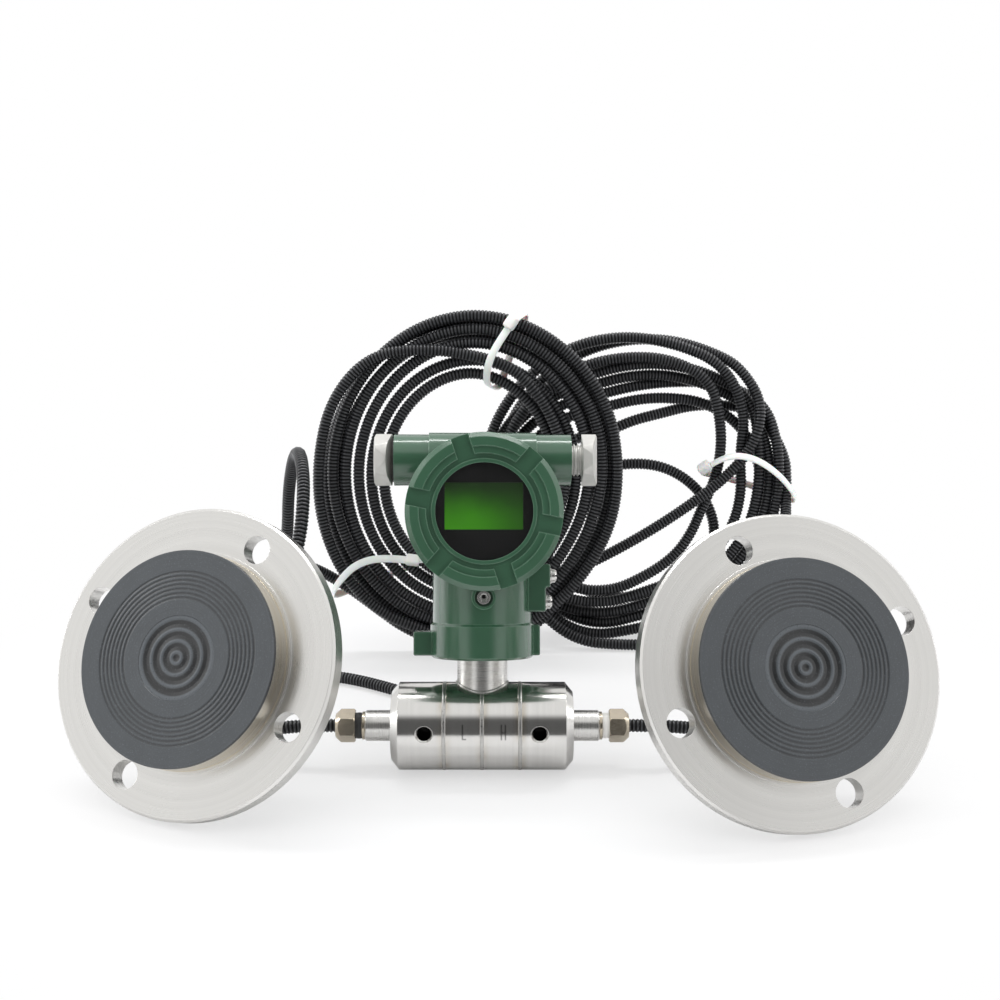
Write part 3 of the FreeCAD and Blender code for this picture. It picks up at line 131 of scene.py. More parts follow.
def sensor_frame():
    """Barrel frame: X along the barrel, Z up the stem."""
    swivel = JOINTS["housing_swivel"]
    up = Vector(swivel["axis"]).normalized()
    along = Vector((1, 0, 0))
    return axes_matrix(along, up.cross(along), up, Vector(swivel["pos_m"]))


def case_frame():
    """Case frame: -Y out of the window, Z up the stem."""
    cover = JOINTS["front_cover_unscrew"]
    back = -Vector(cover["axis"]).normalized()
    up = Vector(JOINTS["housing_swivel"]["axis"]).normalized()
    return axes_matrix(back.cross(up), back, up, Vector(cover["pos_m"]))


# Shader expressions

class Value:
    """A socket of a node tree. Arithmetic on it adds Math nodes."""

    def __init__(self, shading, socket):
        self.shading = shading
        self.socket = socket

    def math(self, operation, first, second):
        """A Math node of an operation on two values or numbers."""
        return self.shading.node("Math", {"operation": operation}, {0: first, 1: second})

    def output(self, key):
        """Another output of the node that this value comes from."""
        return Value(self.shading, self.socket.node.outputs[key])

    def __add__(self, other):
        return self.math("ADD", self, other)

    def __radd__(self, other):
        return self.math("ADD", other, self)

    def __sub__(self, other):
        return self.math("SUBTRACT", self, other)

    def __rsub__(self, other):
        return self.math("SUBTRACT", other, self)

    def __mul__(self, other):
        return self.math("MULTIPLY", self, other)

    def __rmul__(self, other):
        return self.math("MULTIPLY", other, self)

    def __pow__(self, other):
        return self.math("POWER", self, other)

    def __rpow__(self, other):
        return self.math("POWER", other, self)

    def __gt__(self, other):
        return self.math("GREATER_THAN", self, other)

    def __lt__(self, other):
        return self.math("LESS_THAN", self, other)

    def __abs__(self):
        return self.math("ABSOLUTE", self, 0.0)


class Shading:
    """A node tree under construction, of a material or of the world."""

    def __init__(self, tree):
        self.tree = tree

    def node(self, kind, settings=None, sockets=None, output=0):
        """Add a node of a type, set its settings, then its sockets' values or links."""
        made = self.tree.nodes.new("ShaderNode" + kind)
        for key, value in (settings or {}).items():
            setattr(made, key, value)
        for key, value in (sockets or {}).items():
            self.feed(made.inputs[key], value)
        return Value(self, made.outputs[output])

    def feed(self, socket, value):
        """Link a value to a socket, or set the socket's own number, vector or colour."""
        if isinstance(value, Value):
            self.tree.links.new(value.socket, socket)
        elif socket.type == "RGBA" and len(value) == 3:
            socket.default_value = (*value, 1.0)
        else:
            socket.default_value = value

    def place(self, matrix=None):
        """Object coordinates, in a local frame where one is given."""
        point = self.node("TexCoord", output="Object")
        if matrix is None:
            return point
        turn = tuple(matrix.to_euler())
        return self.node("Mapping", {"vector_type": "TEXTURE"},
                         {"Vector": point, "Location": tuple(matrix.translation), "Rotation": turn})

    def parts(self, point):
        """The x, y and z of a point as three values."""
        split = self.node("SeparateXYZ", {}, {0: point})
        return [split.output(axis) for axis in "XYZ"]

    def noise(self, point, scale, detail):
        """Noise in space, with so many blobs to a metre."""
        return self.node("TexNoise", {}, {"Vector": point, "Scale": scale, "Detail": detail})

    def lines(self, value, per_metre, detail):
        """Noise that changes along one value only, as the marks of a lathe tool do."""
        return self.node("TexNoise", {"noise_dimensions": "1D"},
                         {"W": value * per_metre, "Scale": 1.0, "Detail": detail})

    def between(self, low, high, share):
        """Smooth step of a share: 0 at low, 1 at high, where low may be the larger number."""
        return self.node("MapRange", {"interpolation_type": "SMOOTHSTEP"},
                         {"Value": share, "From Min": low, "From Max": high})

    def within(self, value, low, high):
        """1 where a value lies between two numbers, and 0 elsewhere."""
        return (value > low) * (value < high)

    def mix(self, share, first, second):
        """Mix of two colours, which are the node's inputs 6 and 7 and its output 2."""
        return self.node("Mix", {"data_type": "RGBA"}, {0: share, 6: first, 7: second}, output=2)

    def bump(self, height, distance, strength, normal=None):
        """Normal tilted by a height, on top of another normal where one is given."""
        sockets = {"Height": height, "Distance": distance, "Strength": strength}
        if normal is not None:
            sockets["Normal"] = normal
        return self.node("Bump", {}, sockets)

    def soft_edges(self, radius):
        """Normal that rounds sharp edges over a small radius."""
        return self.node("Bevel", {"samples": BEVEL_SAMPLES}, {"Radius": radius})

    def edge_share(self, soft):
        """How far a softened normal has turned from the face's own: 0 on a flat, towards 1 at an edge."""
        face = self.node("NewGeometry", output="Normal")
        same = self.node("VectorMath", {"operation": "DOT_PRODUCT"}, {0: face, 1: soft}, output="Value")
        return self.between(*EDGE_TURN, 1.0 - same)


class Finish(Shading):
    """A material: one Principled shader and the nodes that feed it."""

    def __init__(self, name, **constants):
        self.material = bpy.data.materials.new(name)
        self.material.use_nodes = True
        super().__init__(self.material.node_tree)
        self.shader = self.tree.nodes["Principled BSDF"]
        self.set(constants)

    def set(self, sockets):
        """Values or links of the Principled shader's sockets, by name."""
        for key, value in sockets.items():
            self.feed(self.shader.inputs[key], value)


def scaled(colour, factor, lift=0.0):
    """A colour made lighter or darker."""
    return tuple(min(1.0, channel * factor + lift) for channel in colour)


def axis_distance(first, second):
    """Distance from an axis: the root of the sum of squares of the two coordinates across it."""
    return (first * first + second * second) ** 0.5


# Finishes

def paint(look):
    """Glossy green paint on a casting: its edges painted paler, a painted highlight, with fine orange peel and
    faint mottling.
    """
    finish = Finish("green_cast_paint", **{"Specular IOR Level": 0.6, "Coat Weight": 0.7,
                                           "Coat Roughness": 0.08})
    point = finish.place()
    peel = finish.noise(point, scale=1300.0, detail=2.0)
    cast = finish.noise(point, scale=240.0, detail=3.0)
    mottle = finish.noise(point, scale=30.0, detail=3.0)
    soft = finish.soft_edges(CAST_EDGE)
    even = finish.mix(mottle, scaled(look.paint, 0.82), scaled(look.paint, 1.2))
    finish.set({
        # Painted highlight: the base colour turns pale green towards sharp edges, where the softened normal turns
        # away from the face's own.
        "Base Color": finish.mix(0.6 * finish.edge_share(soft), even, scaled(look.paint, 2.6, 0.05)),
        "Roughness": 0.18 + 0.08 * cast + 0.05 * mottle,
        "Normal": finish.bump(peel + 2.0 * cast, distance=0.00002, strength=0.3, normal=soft)})
    return finish.material


def turned_steel(name, look, matrix, axis):
    """Satin steel with lathe marks: noise along the axis on a turned side, along the radius on a face."""
    finish = Finish(name, Metallic=1.0)
    point = finish.place(matrix)
    parts = finish.parts(point)
    others = [part for index, part in enumerate(parts) if index != axis]
    radius = axis_distance(*others)
    marks = finish.lines(parts[axis] + radius, per_metre=2600.0, detail=3.0)
    broad = finish.lines(parts[axis] + radius, per_metre=310.0, detail=2.0)
    smear = finish.noise(point, scale=60.0, detail=3.0)
    finish.set({
        "Base Color": finish.mix(0.6 * broad + 0.4 * marks, scaled(look.steel, 0.78), look.steel),
        "Roughness": 0.2 + 0.10 * marks + 0.06 * smear,
        "Normal": finish.bump(marks, distance=0.000012, strength=0.6, normal=finish.soft_edges(FINE_EDGE))})
    return finish.material


def barrel_steel(look, matrix):
    """Turned barrel: lathe marks along it, heat tint beside the seams, painted shade in its bores, and stamped
    side marks.
    """
    finish = Finish("barrel_steel", Metallic=1.0)
    point = finish.place(matrix)
    x, y, z = finish.parts(point)
    radius = axis_distance(y, z)
    marks = finish.lines(x + radius, per_metre=2400.0, detail=3.0)
    broad = finish.lines(x + radius, per_metre=260.0, detail=2.0)
    smear = finish.noise(point, scale=45.0, detail=4.0)
    heat = 0.0
    for seam in (-SEAM_PLACE, 0.0, SEAM_PLACE):
        heat = heat + finish.between(*SEAM_HEAT, abs(x - seam))
    tint = finish.between(0.25, 0.75, smear) * heat * 0.55
    # The stamped side marks are print; the walls of the tapped bores are painted near black, a painted shade.
    marks_and_bore_shade = side_marks(finish, finish.place())
    for side in ("left", "right"):
        marks_and_bore_shade = marks_and_bore_shade + bore_shade_mask(finish, MOUNTS[f"{side}_barrel_hole"])
    plain = finish.mix(0.6 * broad + 0.4 * marks, scaled(look.steel, 0.8), look.steel)
    tinted = finish.mix(tint, plain, look.heat)
    finish.set({
        "Base Color": finish.mix(marks_and_bore_shade, tinted, scaled(look.steel, 0.02)),
        "Roughness": 0.09 + 0.05 * marks + 0.07 * smear,
        "Normal": finish.bump(marks, distance=0.000003, strength=0.35, normal=finish.soft_edges(SOFT_EDGE))})
    return finish.material


def bore_shade_mask(finish, bore):
    """1 on the wall of a bore, where shade is painted: nearer to its axis than its radius and a little more."""
    axis = Vector(bore["axis"]).normalized()
    matrix = axis.to_track_quat("Z", "Y").to_matrix().to_4x4()
    matrix.translation = Vector(bore["pos_m"])
    x, y, _ = finish.parts(finish.place(matrix))
    return axis_distance(x, y) < bore["dims"]["r_mm"] * MM + BORE_MARGIN


def side_marks(finish, point):
    """Low and high side letters stamped on the barrel's front: a sum of upright and level strokes."""
    x, y, z = finish.parts(point)
    bar = MARK_FOOT + (MARK_HEIGHT - MARK_STROKE) / 2
    far_post = HIGH_MARK + HIGH_WIDTH - MARK_STROKE
    strokes = [(LOW_MARK, MARK_STROKE, MARK_FOOT, MARK_HEIGHT), (LOW_MARK, LOW_WIDTH, MARK_FOOT, MARK_STROKE),
               (HIGH_MARK, MARK_STROKE, MARK_FOOT, MARK_HEIGHT), (HIGH_MARK, HIGH_WIDTH, bar, MARK_STROKE),
               (far_post, MARK_STROKE, MARK_FOOT, MARK_HEIGHT)]
    marks = 0.0
    for left, width, foot, height in strokes:
        marks = marks + finish.within(x, left, left + width) * finish.within(z, foot, foot + height)
    return finish.between(0.0, 1.0, (y < BARREL_FRONT) * marks) * MARK_DARKNESS


def plate_steel(name, look, matrix):
    """Flange steel: lathe marks round its axis, and a straw tint on its boss."""
    finish = Finish(name, Metallic=1.0)
    point = finish.place(matrix)
    x, y, z = finish.parts(point)
    radius = axis_distance(x, y)
    marks = finish.lines(radius + z, per_metre=2000.0, detail=3.0)
    broad = finish.lines(radius + z, per_metre=200.0, detail=2.0)
    smear = finish.noise(point, scale=28.0, detail=4.0)
    on_boss = (radius < BOSS_RADIUS) * finish.between(*BOSS_FOOT, z)
    tint = on_boss * (0.35 + 0.5 * broad)
    plain = finish.mix(0.55 * broad + 0.45 * marks, scaled(look.steel, 0.84), scaled(look.steel, 1.03))
    finish.set({
        "Base Color": finish.mix(tint, plain, look.straw),
        "Roughness": 0.2 + 0.09 * marks + 0.09 * smear,
        "Normal": finish.bump(marks + 0.3 * broad, distance=0.000014, strength=0.7,
                              normal=finish.soft_edges(FINE_EDGE))})
    return finish.material


def plain_metal(name, colour, roughness, scale=500.0, metallic=1.0):
    """Dull plated metal with a fine grain and faint stains; less metallic where the plating is matt."""
    finish = Finish(name, Metallic=metallic)
    point = finish.place()
    grain = finish.noise(point, scale, detail=3.0)
    stain = finish.noise(point, scale=110.0, detail=3.0)
    finish.set({
        "Base Color": finish.mix(stain, scaled(colour, 0.72), colour),
        "Roughness": roughness + 0.14 * grain,
        "Normal": finish.bump(grain, distance=0.00002, strength=0.5, normal=finish.soft_edges(SOFT_EDGE))})
    return finish.material


def socket_screw(look, matrix):
    """Bright screw head with painted shade in its hexagon socket: nearer to the axis than the socket's flats."""
    finish = Finish("bright_socket_screw", Metallic=1.0)
    x, _, z = finish.parts(finish.place(matrix))
    reach = abs(x)
    for turn in (60, 120):
        slant = x * math.cos(math.radians(turn)) + z * math.sin(math.radians(turn))
        reach = reach.math("MAXIMUM", reach, abs(slant))
    grain = finish.noise(finish.place(), scale=700.0, detail=3.0)
    # Painted shade: the hexagon socket is painted near black.
    socket = finish.between(*LOCK_SOCKET, reach)
    finish.set({
        "Base Color": finish.mix(socket, scaled(look.steel, 0.95), scaled(look.steel, 0.03)),
        "Roughness": 0.16 + 0.16 * grain,
        "Normal": finish.bump(grain, distance=0.00002, strength=0.5, normal=finish.soft_edges(SOFT_EDGE))})
    return finish.material


def diaphragm_coat(name, look, matrix):
    """Dark satin coat: fine turned rings, pale specks, and corrugations whose crests are painted brighter than
    their grooves, a painted highlight.
    """
    finish = Finish(name, **{"Specular IOR Level": 0.75})
    point = finish.place(matrix)
    x, y, z = finish.parts(point)
    radius = axis_distance(x, y)
    rings = finish.lines(radius, per_metre=1100.0, detail=2.0)
    fine = finish.noise(point, scale=1300.0, detail=2.0)
    broad = finish.noise(point, scale=60.0, detail=3.0)
    speck = finish.between(0.58, 0.72, fine)
    middle = finish.between(*DIAPHRAGM_MIDDLE, radius)
    coarse = finish.between(*COARSE_CREST, z)
    slight = finish.between(*SLIGHT_CREST, z)
    # Painted highlight: the corrugations' crests are painted brighter than their grooves.
    crest = middle * (0.9 * coarse - 0.02) + (1.0 - middle) * (0.26 + 0.3 * slight)
    share = 0.5 * speck + 0.16 * broad + 0.2 * rings + crest - 0.22
    finish.set({
        "Base Color": finish.mix(share, scaled(look.diaphragm, 0.15), scaled(look.diaphragm, 2.3, 0.008)),
        "Roughness": 0.30 - 0.08 * middle * coarse + 0.16 * fine,
        "Normal": finish.bump(0.7 * fine + 0.4 * rings, distance=0.00007, strength=0.6)})
    return finish.material


def hose_sheath(look):
    """Black sheath: its rib crests painted paler, a painted highlight varied by a dust noise, and glossy there;
    black and dull in the grooves, a painted shade.
    """
    finish = Finish("black_ribbed_sheath", **{"Specular IOR Level": 0.15, "Coat Roughness": 0.2})
    point = finish.place()
    height = finish.node("Attribute", {"attribute_name": "rib"}, output="Fac")
    crest = finish.between(*RIB_CREST_HIGHLIGHT, height)
    dust = finish.noise(point, scale=48.0, detail=4.0)
    fine = finish.noise(point, scale=900.0, detail=2.0)
    # Painted highlight on the rib crests, varied by a dust noise, which also sets the crests' coat of gloss; the
    # grooves stay black as painted shade.
    crest_highlight_and_gloss = crest * (0.55 + 0.9 * dust)
    finish.set({
        "Base Color": finish.mix(crest_highlight_and_gloss, look.hose, look.hose_crest_highlight),
        "Roughness": 0.5 - 0.15 * crest + 0.1 * dust,
        "Coat Weight": crest_highlight_and_gloss,
        "Normal": finish.bump(fine, distance=0.00002, strength=0.3)})
    return finish.material


def moulded(name, colour, roughness, texture=0.00002, **constants):
    """Moulded plastic or rubber: fine texture and a faint change of tone."""
    finish = Finish(name, **constants)
    point = finish.place()
    fine = finish.noise(point, scale=700.0, detail=2.0)
    tone = finish.noise(point, scale=60.0, detail=2.0)
    finish.set({
        "Base Color": finish.mix(tone, colour, scaled(colour, 1.25, 0.002)),
        "Roughness": roughness + 0.12 * fine,
        "Normal": finish.bump(fine, distance=texture, strength=0.4, normal=finish.soft_edges(FINE_EDGE))})
    return finish.material


def lit_screen(look, matrix):
    """Lit liquid crystal panel: green that fades towards its top edge and its right side."""
    finish = Finish("lit_green_screen", Roughness=0.25)
    point = finish.place(matrix)
    x, _, z = finish.parts(point)
    rise = finish.node("MapRange", {}, {"Value": z, "From Min": SCREEN_MIDDLE - SCREEN_HALF_HEIGHT,
                                        "From Max": SCREEN_MIDDLE + SCREEN_HALF_HEIGHT})
    cloud = finish.noise(point, scale=60.0, detail=3.0)
    side = finish.between(*SCREEN_SIDE, x)
    glow = finish.between(1.15, 0.2, rise + 0.3 * cloud) * (0.3 + 0.7 * side)
    colour = finish.mix(glow, scaled(look.screen, 0.08), look.screen)
    finish.set({"Base Color": DARK_SCREEN, "Emission Color": colour, "Emission Strength": 1.0})
    return finish.material


def window_pane():
    """Clear glass, with the faintest smear in its gloss."""
    finish = Finish("clear_window", **{"Base Color": WHITE, "IOR": 1.45,
                                       "Transmission Weight": 1.0})
    smear = finish.noise(finish.place(), scale=70.0, detail=3.0)
    finish.set({"Roughness": 0.02 * finish.between(0.55, 0.8, smear)})
    return finish.material


def give(names, material):
    """Put one material on CAD nodes or pieces."""
    for name in names:
        piece = NODES.get(name) or bpy.data.objects[name]
        piece.data.materials.clear()
        piece.data.materials.append(material)


# Surfaces

ROUTE_STEPS = 12
ROUTE_ORDER = 3
SIDE_CHOICES = 240
GOLDEN_TURN = math.pi * (1.0 + 5.0 ** 0.5)

# A rib's four rings: where each lies along the rib, and how far down its groove, as shares
RIB_PLACES = np.array([0.0, 0.2, 0.5, 0.8])
RIB_DROPS = np.array([1.0, 0.3, 0.0, 0.3])

# A strap's section, a rounded oblong, as shares of its width and of its thickness
STRAP_ACROSS = np.array([-0.5, -0.44, 0.44, 0.5, 0.5, 0.44, -0.44, -0.5])
STRAP_OVER = np.array([0.25, 0.5, 0.5, 0.25, -0.25, -0.5, -0.5, -0.25])

# A tie's head: the power that rounds it, its grid, and shares of the strap's width and its own length
HEAD_POWER = 0.35
HEAD_ROWS = 13
HEAD_COLUMNS = 24
HEAD_HALF_WIDTH = 0.68
HEAD_HALF_HEIGHT = 0.36
HEAD_RISE = 0.16


def new_mesh_piece(name, points, faces, smooth=True):
    """Mesh object at the origin from an array of points and a list of faces."""
    mesh = bpy.data.meshes.new(name)
    mesh.from_pydata(points.tolist(), [], faces)
    mesh.polygons.foreach_set("use_smooth", np.full(len(mesh.polygons), smooth))
    mesh.update()
    piece = bpy.data.objects.new(name, mesh)
    bpy.context.scene.collection.objects.link(piece)
    return piece


def grid_faces(rows, columns):
    """Quads of a grid of rows by columns that closes across its columns."""
    index = np.arange(rows * columns).reshape(rows, columns)
    after = np.roll(index, -1, axis=1)
    quads = np.stack([index[:-1], after[:-1], after[1:], index[1:]], axis=-1)
    return quads.reshape(-1, 4).tolist()


def tube_faces(rows, columns):
    """Faces of a closed tube: its grid of quads, and one face across each end."""
    count = rows * columns
    return grid_faces(rows, columns) + [list(range(columns))[::-1], list(range(count - columns, count))]


def unit_rows(vectors):
    """Vectors, one to a row, each divided by its length."""
    return vectors / np.linalg.norm(vectors, axis=1, keepdims=True)


def spline_line(points):
    """Points along a NURBS spline that has the given control points."""
    curve = bpy.data.curves.new("route", "CURVE")
    curve.dimensions = "3D"
    curve.resolution_u = ROUTE_STEPS
    spline = curve.splines.new("NURBS")
    spline.points.add(len(points) - 1)
    spline.points.foreach_set("co", np.column_stack([points, np.ones(len(points))]).ravel())
    spline.order_u = ROUTE_ORDER
    spline.use_endpoint_u = True
    carrier = bpy.data.objects.new("route", curve)
    mesh = bpy.data.meshes.new_from_object(carrier)
    line = np.zeros(len(mesh.vertices) * 3)
    mesh.vertices.foreach_get("co", line)
    bpy.data.meshes.remove(mesh)
    bpy.data.curves.remove(curve)
    return line.reshape(-1, 3)


def step_lengths(line):
    """Distance from each point of a line to the next."""
    return np.linalg.norm(np.diff(line, axis=0), axis=1)


def along_line(line, places):
    """Points at given distances along a line."""
    travelled = np.concatenate([[0.0], np.cumsum(step_lengths(line))])
    return np.column_stack([np.interp(places, travelled, line[:, axis]) for axis in range(3)])


def line_length(line):
    """Length of a line: the sum of its steps."""
    return float(step_lengths(line).sum())


def steady_side(tangents):
    """The direction, out of an even spiral on a half sphere, that keeps furthest from all tangents."""
    index = np.arange(SIDE_CHOICES) + 0.5
    height = 1.0 - index / SIDE_CHOICES
    turn = GOLDEN_TURN * index
    flat = np.sqrt(1.0 - height ** 2)
    choices = np.column_stack([flat * np.cos(turn), flat * np.sin(turn), height])
    nearest = np.abs(tangents @ choices.T).max(axis=0)
    return choices[nearest.argmin()]


def ribbed_tube(name, line, look):
    """Tube along a line: four rings to each rib, one deep in its groove and three over its round crest.

    The attribute named rib is 0 in the groove and 1 on the crest.
    """
    ribs = int(line_length(line) / look.rib_pitch)
    places = ((np.arange(ribs)[:, None] + RIB_PLACES[None, :]) * look.rib_pitch).ravel()
    places = np.append(places, line_length(line))
    depth = np.append(np.tile(RIB_DROPS, ribs), 1.0) * look.rib_depth
    radius = look.hose_diameter / 2 - depth
    centres = along_line(line, places)
    tangents = unit_rows(np.gradient(centres, axis=0))
    side = unit_rows(np.cross(tangents, steady_side(tangents)))
    other = np.cross(tangents, side)
    turn = np.linspace(0.0, 2.0 * math.pi, look.hose_sides, endpoint=False)
    ring = side[:, None, :] * np.cos(turn)[None, :, None] + other[:, None, :] * np.sin(turn)[None, :, None]
    points = (centres[:, None, :] + ring * radius[:, None, None]).reshape(-1, 3)
    piece = new_mesh_piece(name, points, tube_faces(len(places), look.hose_sides))
    height = np.repeat(1.0 - depth / look.rib_depth, look.hose_sides)
    piece.data.attributes.new("rib", "FLOAT", "POINT").data.foreach_set("value", height)
    return piece, centres


def strap_band(line, width, thickness):
    """Band along a line that comes back to its start: a rounded oblong carried along the line.

    Its width lies along the normal of the loop's plane, and its thickness points out of the loop. With
    its points and faces come the band's directions at the start: along, across and out.
    """
    tangents = unit_rows(np.gradient(line, axis=0))
    plane = np.linalg.svd(line - line.mean(axis=0))[2][2]
    side = unit_rows(plane - (tangents @ plane)[:, None] * tangents)
    out = np.cross(tangents, side)
    out *= np.sign(((line - line.mean(axis=0)) * out).sum())
    across = (STRAP_ACROSS * width)[:, None]
    over = (STRAP_OVER * thickness)[:, None]
    points = line[:, None, :] + side[:, None, :] * across + out[:, None, :] * over
    faces = tube_faces(len(line), len(STRAP_ACROSS))
    return points.reshape(-1, 3), faces, (tangents[0], side[0], out[0])


def rounded_block(centre, axes, half):
    """Block with round corners: a sphere whose sines and cosines, signs kept, are raised to a low power."""
    rise = np.linspace(-math.pi / 2, math.pi / 2, HEAD_ROWS)[:, None]
    turn = np.linspace(0.0, 2.0 * math.pi, HEAD_COLUMNS, endpoint=False)[None, :]

    def squared(value):
        return np.sign(value) * np.abs(value) ** HEAD_POWER

    wide = squared(np.cos(rise))
    tall = squared(np.sin(rise)) * np.ones_like(turn)
    local = np.stack([wide * squared(np.cos(turn)), wide * squared(np.sin(turn)), tall], axis=-1)
    points = (local * np.array(half)) @ np.array(axes) + centre
    return points.reshape(-1, 3), grid_faces(HEAD_ROWS, HEAD_COLUMNS)


def cable_tie(name, points, look):
    """Strap along a loop of control points, with its head at the start of the loop."""
    line = spline_line(np.array(points, float) * MM)
    band, band_faces, axes = strap_band(line, look.strap_width, look.strap_thickness)
    half = (look.head_length / 2, look.strap_width * HEAD_HALF_WIDTH, look.head_length * HEAD_HALF_HEIGHT)
    head, head_faces = rounded_block(line[0] + axes[2] * look.head_length * HEAD_RISE, axes, half)
    moved = [[corner + len(band) for corner in face] for face in head_faces]
    return new_mesh_piece(name, np.concatenate([band, head]), band_faces + moved)


# Cable ties, in millimetres: from the head, over the strands and back behind them

STRAPS = {
    "left_upper": [(13, 201, 258), (2, 196, 243), (-5, 192, 228), (-6, 199, 211), (4, 210, 206),
                   (10, 220, 224), (17, 229, 242), (24, 228, 258), (22, 206, 266), (13, 201, 258)],
    "left_lower": [(-62, 175, 81), (-82, 175, 84), (-104, 173, 80), (-119, 169, 65), (-126, 186, 48),
                   (-114, 203, 47), (-84, 200, 61), (-52, 196, 75), (-43, 184, 83), (-52, 174, 83),
                   (-62, 175, 81)],
    "right": [(167, 241, 135), (180, 237, 147), (203, 232, 147), (225, 230, 132), (239, 233, 113),
              (238, 250, 106), (207, 259, 116), (180, 255, 125), (161, 248, 131), (167, 241, 135)]}


# Hose routes, in millimetres: straight out of the nuts and glands, then points given one by one

LEFT_NUT = [(-97.05, -2.91, 28.7), (-129.05, -2.91, 28.7)]
RIGHT_NUT = [(82.75, -2.91, 28.7), (114.75, -2.91, 28.7)]
LEFT_GLAND = [(-155.9, -18.5, 100.7), (-133.0, -14.5, 122.6)]
RIGHT_GLAND = [(206.2, -24.3, 89.1), (234.1, -12.0, 98.7)]
LEFT_LEAD = [(-152, 3, 22), (-181, 17, 9), (-208, 42, 4.7), (-217, 78, 4.7), (-201, 112, 4.7),
             (-166, 131, 4.7), (-128, 135, 4.7), (-98, 125, 4.7), (-49, 92, 4.7), (-15, 99, 4.7),
             (5, 130, 4.7), (0, 160, 5.5), (-22, 178, 10)]
LEFT_TAIL = [(-123, 6, 152), (-122, 30, 182), (-128, 62, 197), (-137, 94, 186), (-145, 116, 155),
             (-149, 131, 120), (-154, 148, 98), (-150, 168, 82), (-136, 187, 70), (-118, 195, 56)]
RIGHT_LEAD = [(146, 1, 23), (175, 13, 12), (202, 37, 5), (212, 72, 4.7), (203, 110, 4.7),
              (180, 145, 4.7), (155, 177, 4.7), (126, 194, 4.7), (96, 194, 4.7), (66, 196, 7)]
RIGHT_TAIL = [(262, 24, 112), (264, 62, 108), (251, 100, 98), (237, 138, 91),
              (229, 172, 91), (227, 208, 92), (230, 231, 102), (232, 244, 121)]

# Coils: an oval with its centre, its lean in degrees and its half width and height, and where its ties are
LEFT_COIL = {"centre": (-17.5, 199, 133.865), "lean": 8, "half": (121, 134.5), "ties": (72, 228)}
RIGHT_COIL = {"centre": (114, 248, 120.917), "lean": 12, "half": (126, 122.5), "ties": (12,)}

# The lay of a coil's turns: angle in degrees, distance in from the oval, and distance behind its middle.
# Strands in view were read off the photograph, some rows by a script from picked places; the rest is a guess.
LEFT_TURNS = [
    (250, 17, -9), (241, 12.5, -10), (227, 9, -11), (214, 7, -12), (199, 5.5, -12.5), (185, 5.5, -13),
    (172, 5, -13), (160, 3.5, -14), (150, 1.5, -15), (142, 1, -15.5), (130, 5, -16), (118, 16, -16),
    (108, 26, -16), (95, 34.5, -15), (82, 36.5, -12.5), (69, 37.5, -11.5), (54, 41, -11.5), (39, 46, -11),
    (15, 47.5, -10), (0, 48.5, -10), (-22, 55, -11), (-37, 57, -11), (-90, 62, -8), (-135, 60, -7),
    (-180, 54.5, -5), (-225, 51, -4), (-270, 48, -4), (-315, 52, -4), (-360, 57, -2), (-382, 57, 0),
    (-397, 57, 0), (-450, 53, -3), (-495, 50, -4), (-540, 45, -5), (-585, 41, -4), (-630, 38.5, -2),
    (-675, 38, -2), (-720, 40, -4), (-742, 46, -5), (-757, 48, -5), (-810, 44, -6), (-855, 41, -6),
    (-900, 35.5, -6), (-990, 25, -6), (-1045, 26, -6), (-1080, 31, -6), (-1102, 37, -6), (-1117, 39, -6),
    (-1170, 35, -6), (-1215, 31, -6), (-1260, 25.5, -6), (-1350, 14.5, -6), (-1420, 16, -6),
    (-1440, 22, -6), (-1462, 28, -6), (-1477, 30, -6), (-1530, 26, -6), (-1575, 22, -6),
    (-1620, 15.5, -5), (-1710, 4.5, -6), (-1755, 4, -6), (-1780, 5, -6), (-1798, 10, -6),
    (-1818, 11.4, -6), (-1833, 15.8, -6), (-1861, 17, -4), (-1890, 17, -1), (-1915, 16, 0),
    (-1935, 13.5, 0), (-1960, 11, 2), (-1980, 10, 4), (-2070, 9, 4.5), (-2115, 9, 4.5), (-2160, 14, 3.5),
    (-2195, 21, 3), (-2250, 26, 3), (-2305, 22, 3.5), (-2340, 20, 4), (-2430, 19, 4.5), (-2475, 19, 5),
    (-2520, 24, 5), (-2540, 26, 9), (-2555, 22, 13), (-2575, 11, 13), (-2595, 5.5, 11), (-2625, 5.5, 9),
    (-2654, 6, 9)]
RIGHT_FIRST = [
    (236, -4, -19), (215, 0, -15), (180, 2, -12), (145, 2, -10), (120, 2, -9), (105, 3.5, -8), (95, 5.5, -8),
    (85, 8, -8), (74, 9, -8), (66, 8.7, -8), (58, 8.3, -8), (49, 10.8, -8), (42, 14.8, -7), (36, 22.6, -6),
    (30, 32, -5), (20, 41, -4), (11, 44, -3), (-45, 42, -4), (-90, 38, -8), (-115, 15, -8), (-140, 13, -8),
    (-180, 13, -11), (-225, 18, -11), (-277, 23.6, -13), (-289, 21, -14), (-299, 22.5, -14), (-305, 26, -14),
    (-311, 32, -14), (-317, 39.5, -14), (-327, 49.5, -13), (-338, 56, -10), (-348, 61, -7), (-361, 66, -4),
    (-377, 72, -3), (-396, 70, -4), (-430, 57, -7), (-450, 48, -9), (-475, 24, -8), (-500, 22, -8),
    (-540, 14, -2), (-585, 12, 0), (-630, 8, 1), (-654, 5, 0), (-664, 3.5, -1)]
RIGHT_CHORD = [
    (197, 262, 207), (209, 256, 188), (209, 249, 167), (199, 244, 147), (181, 239, 129), (157, 235, 110),
    (129, 232, 90), (101, 231, 72), (74, 229, 57), (48, 227, 46), (24, 227, 46), (5, 230, 60)]
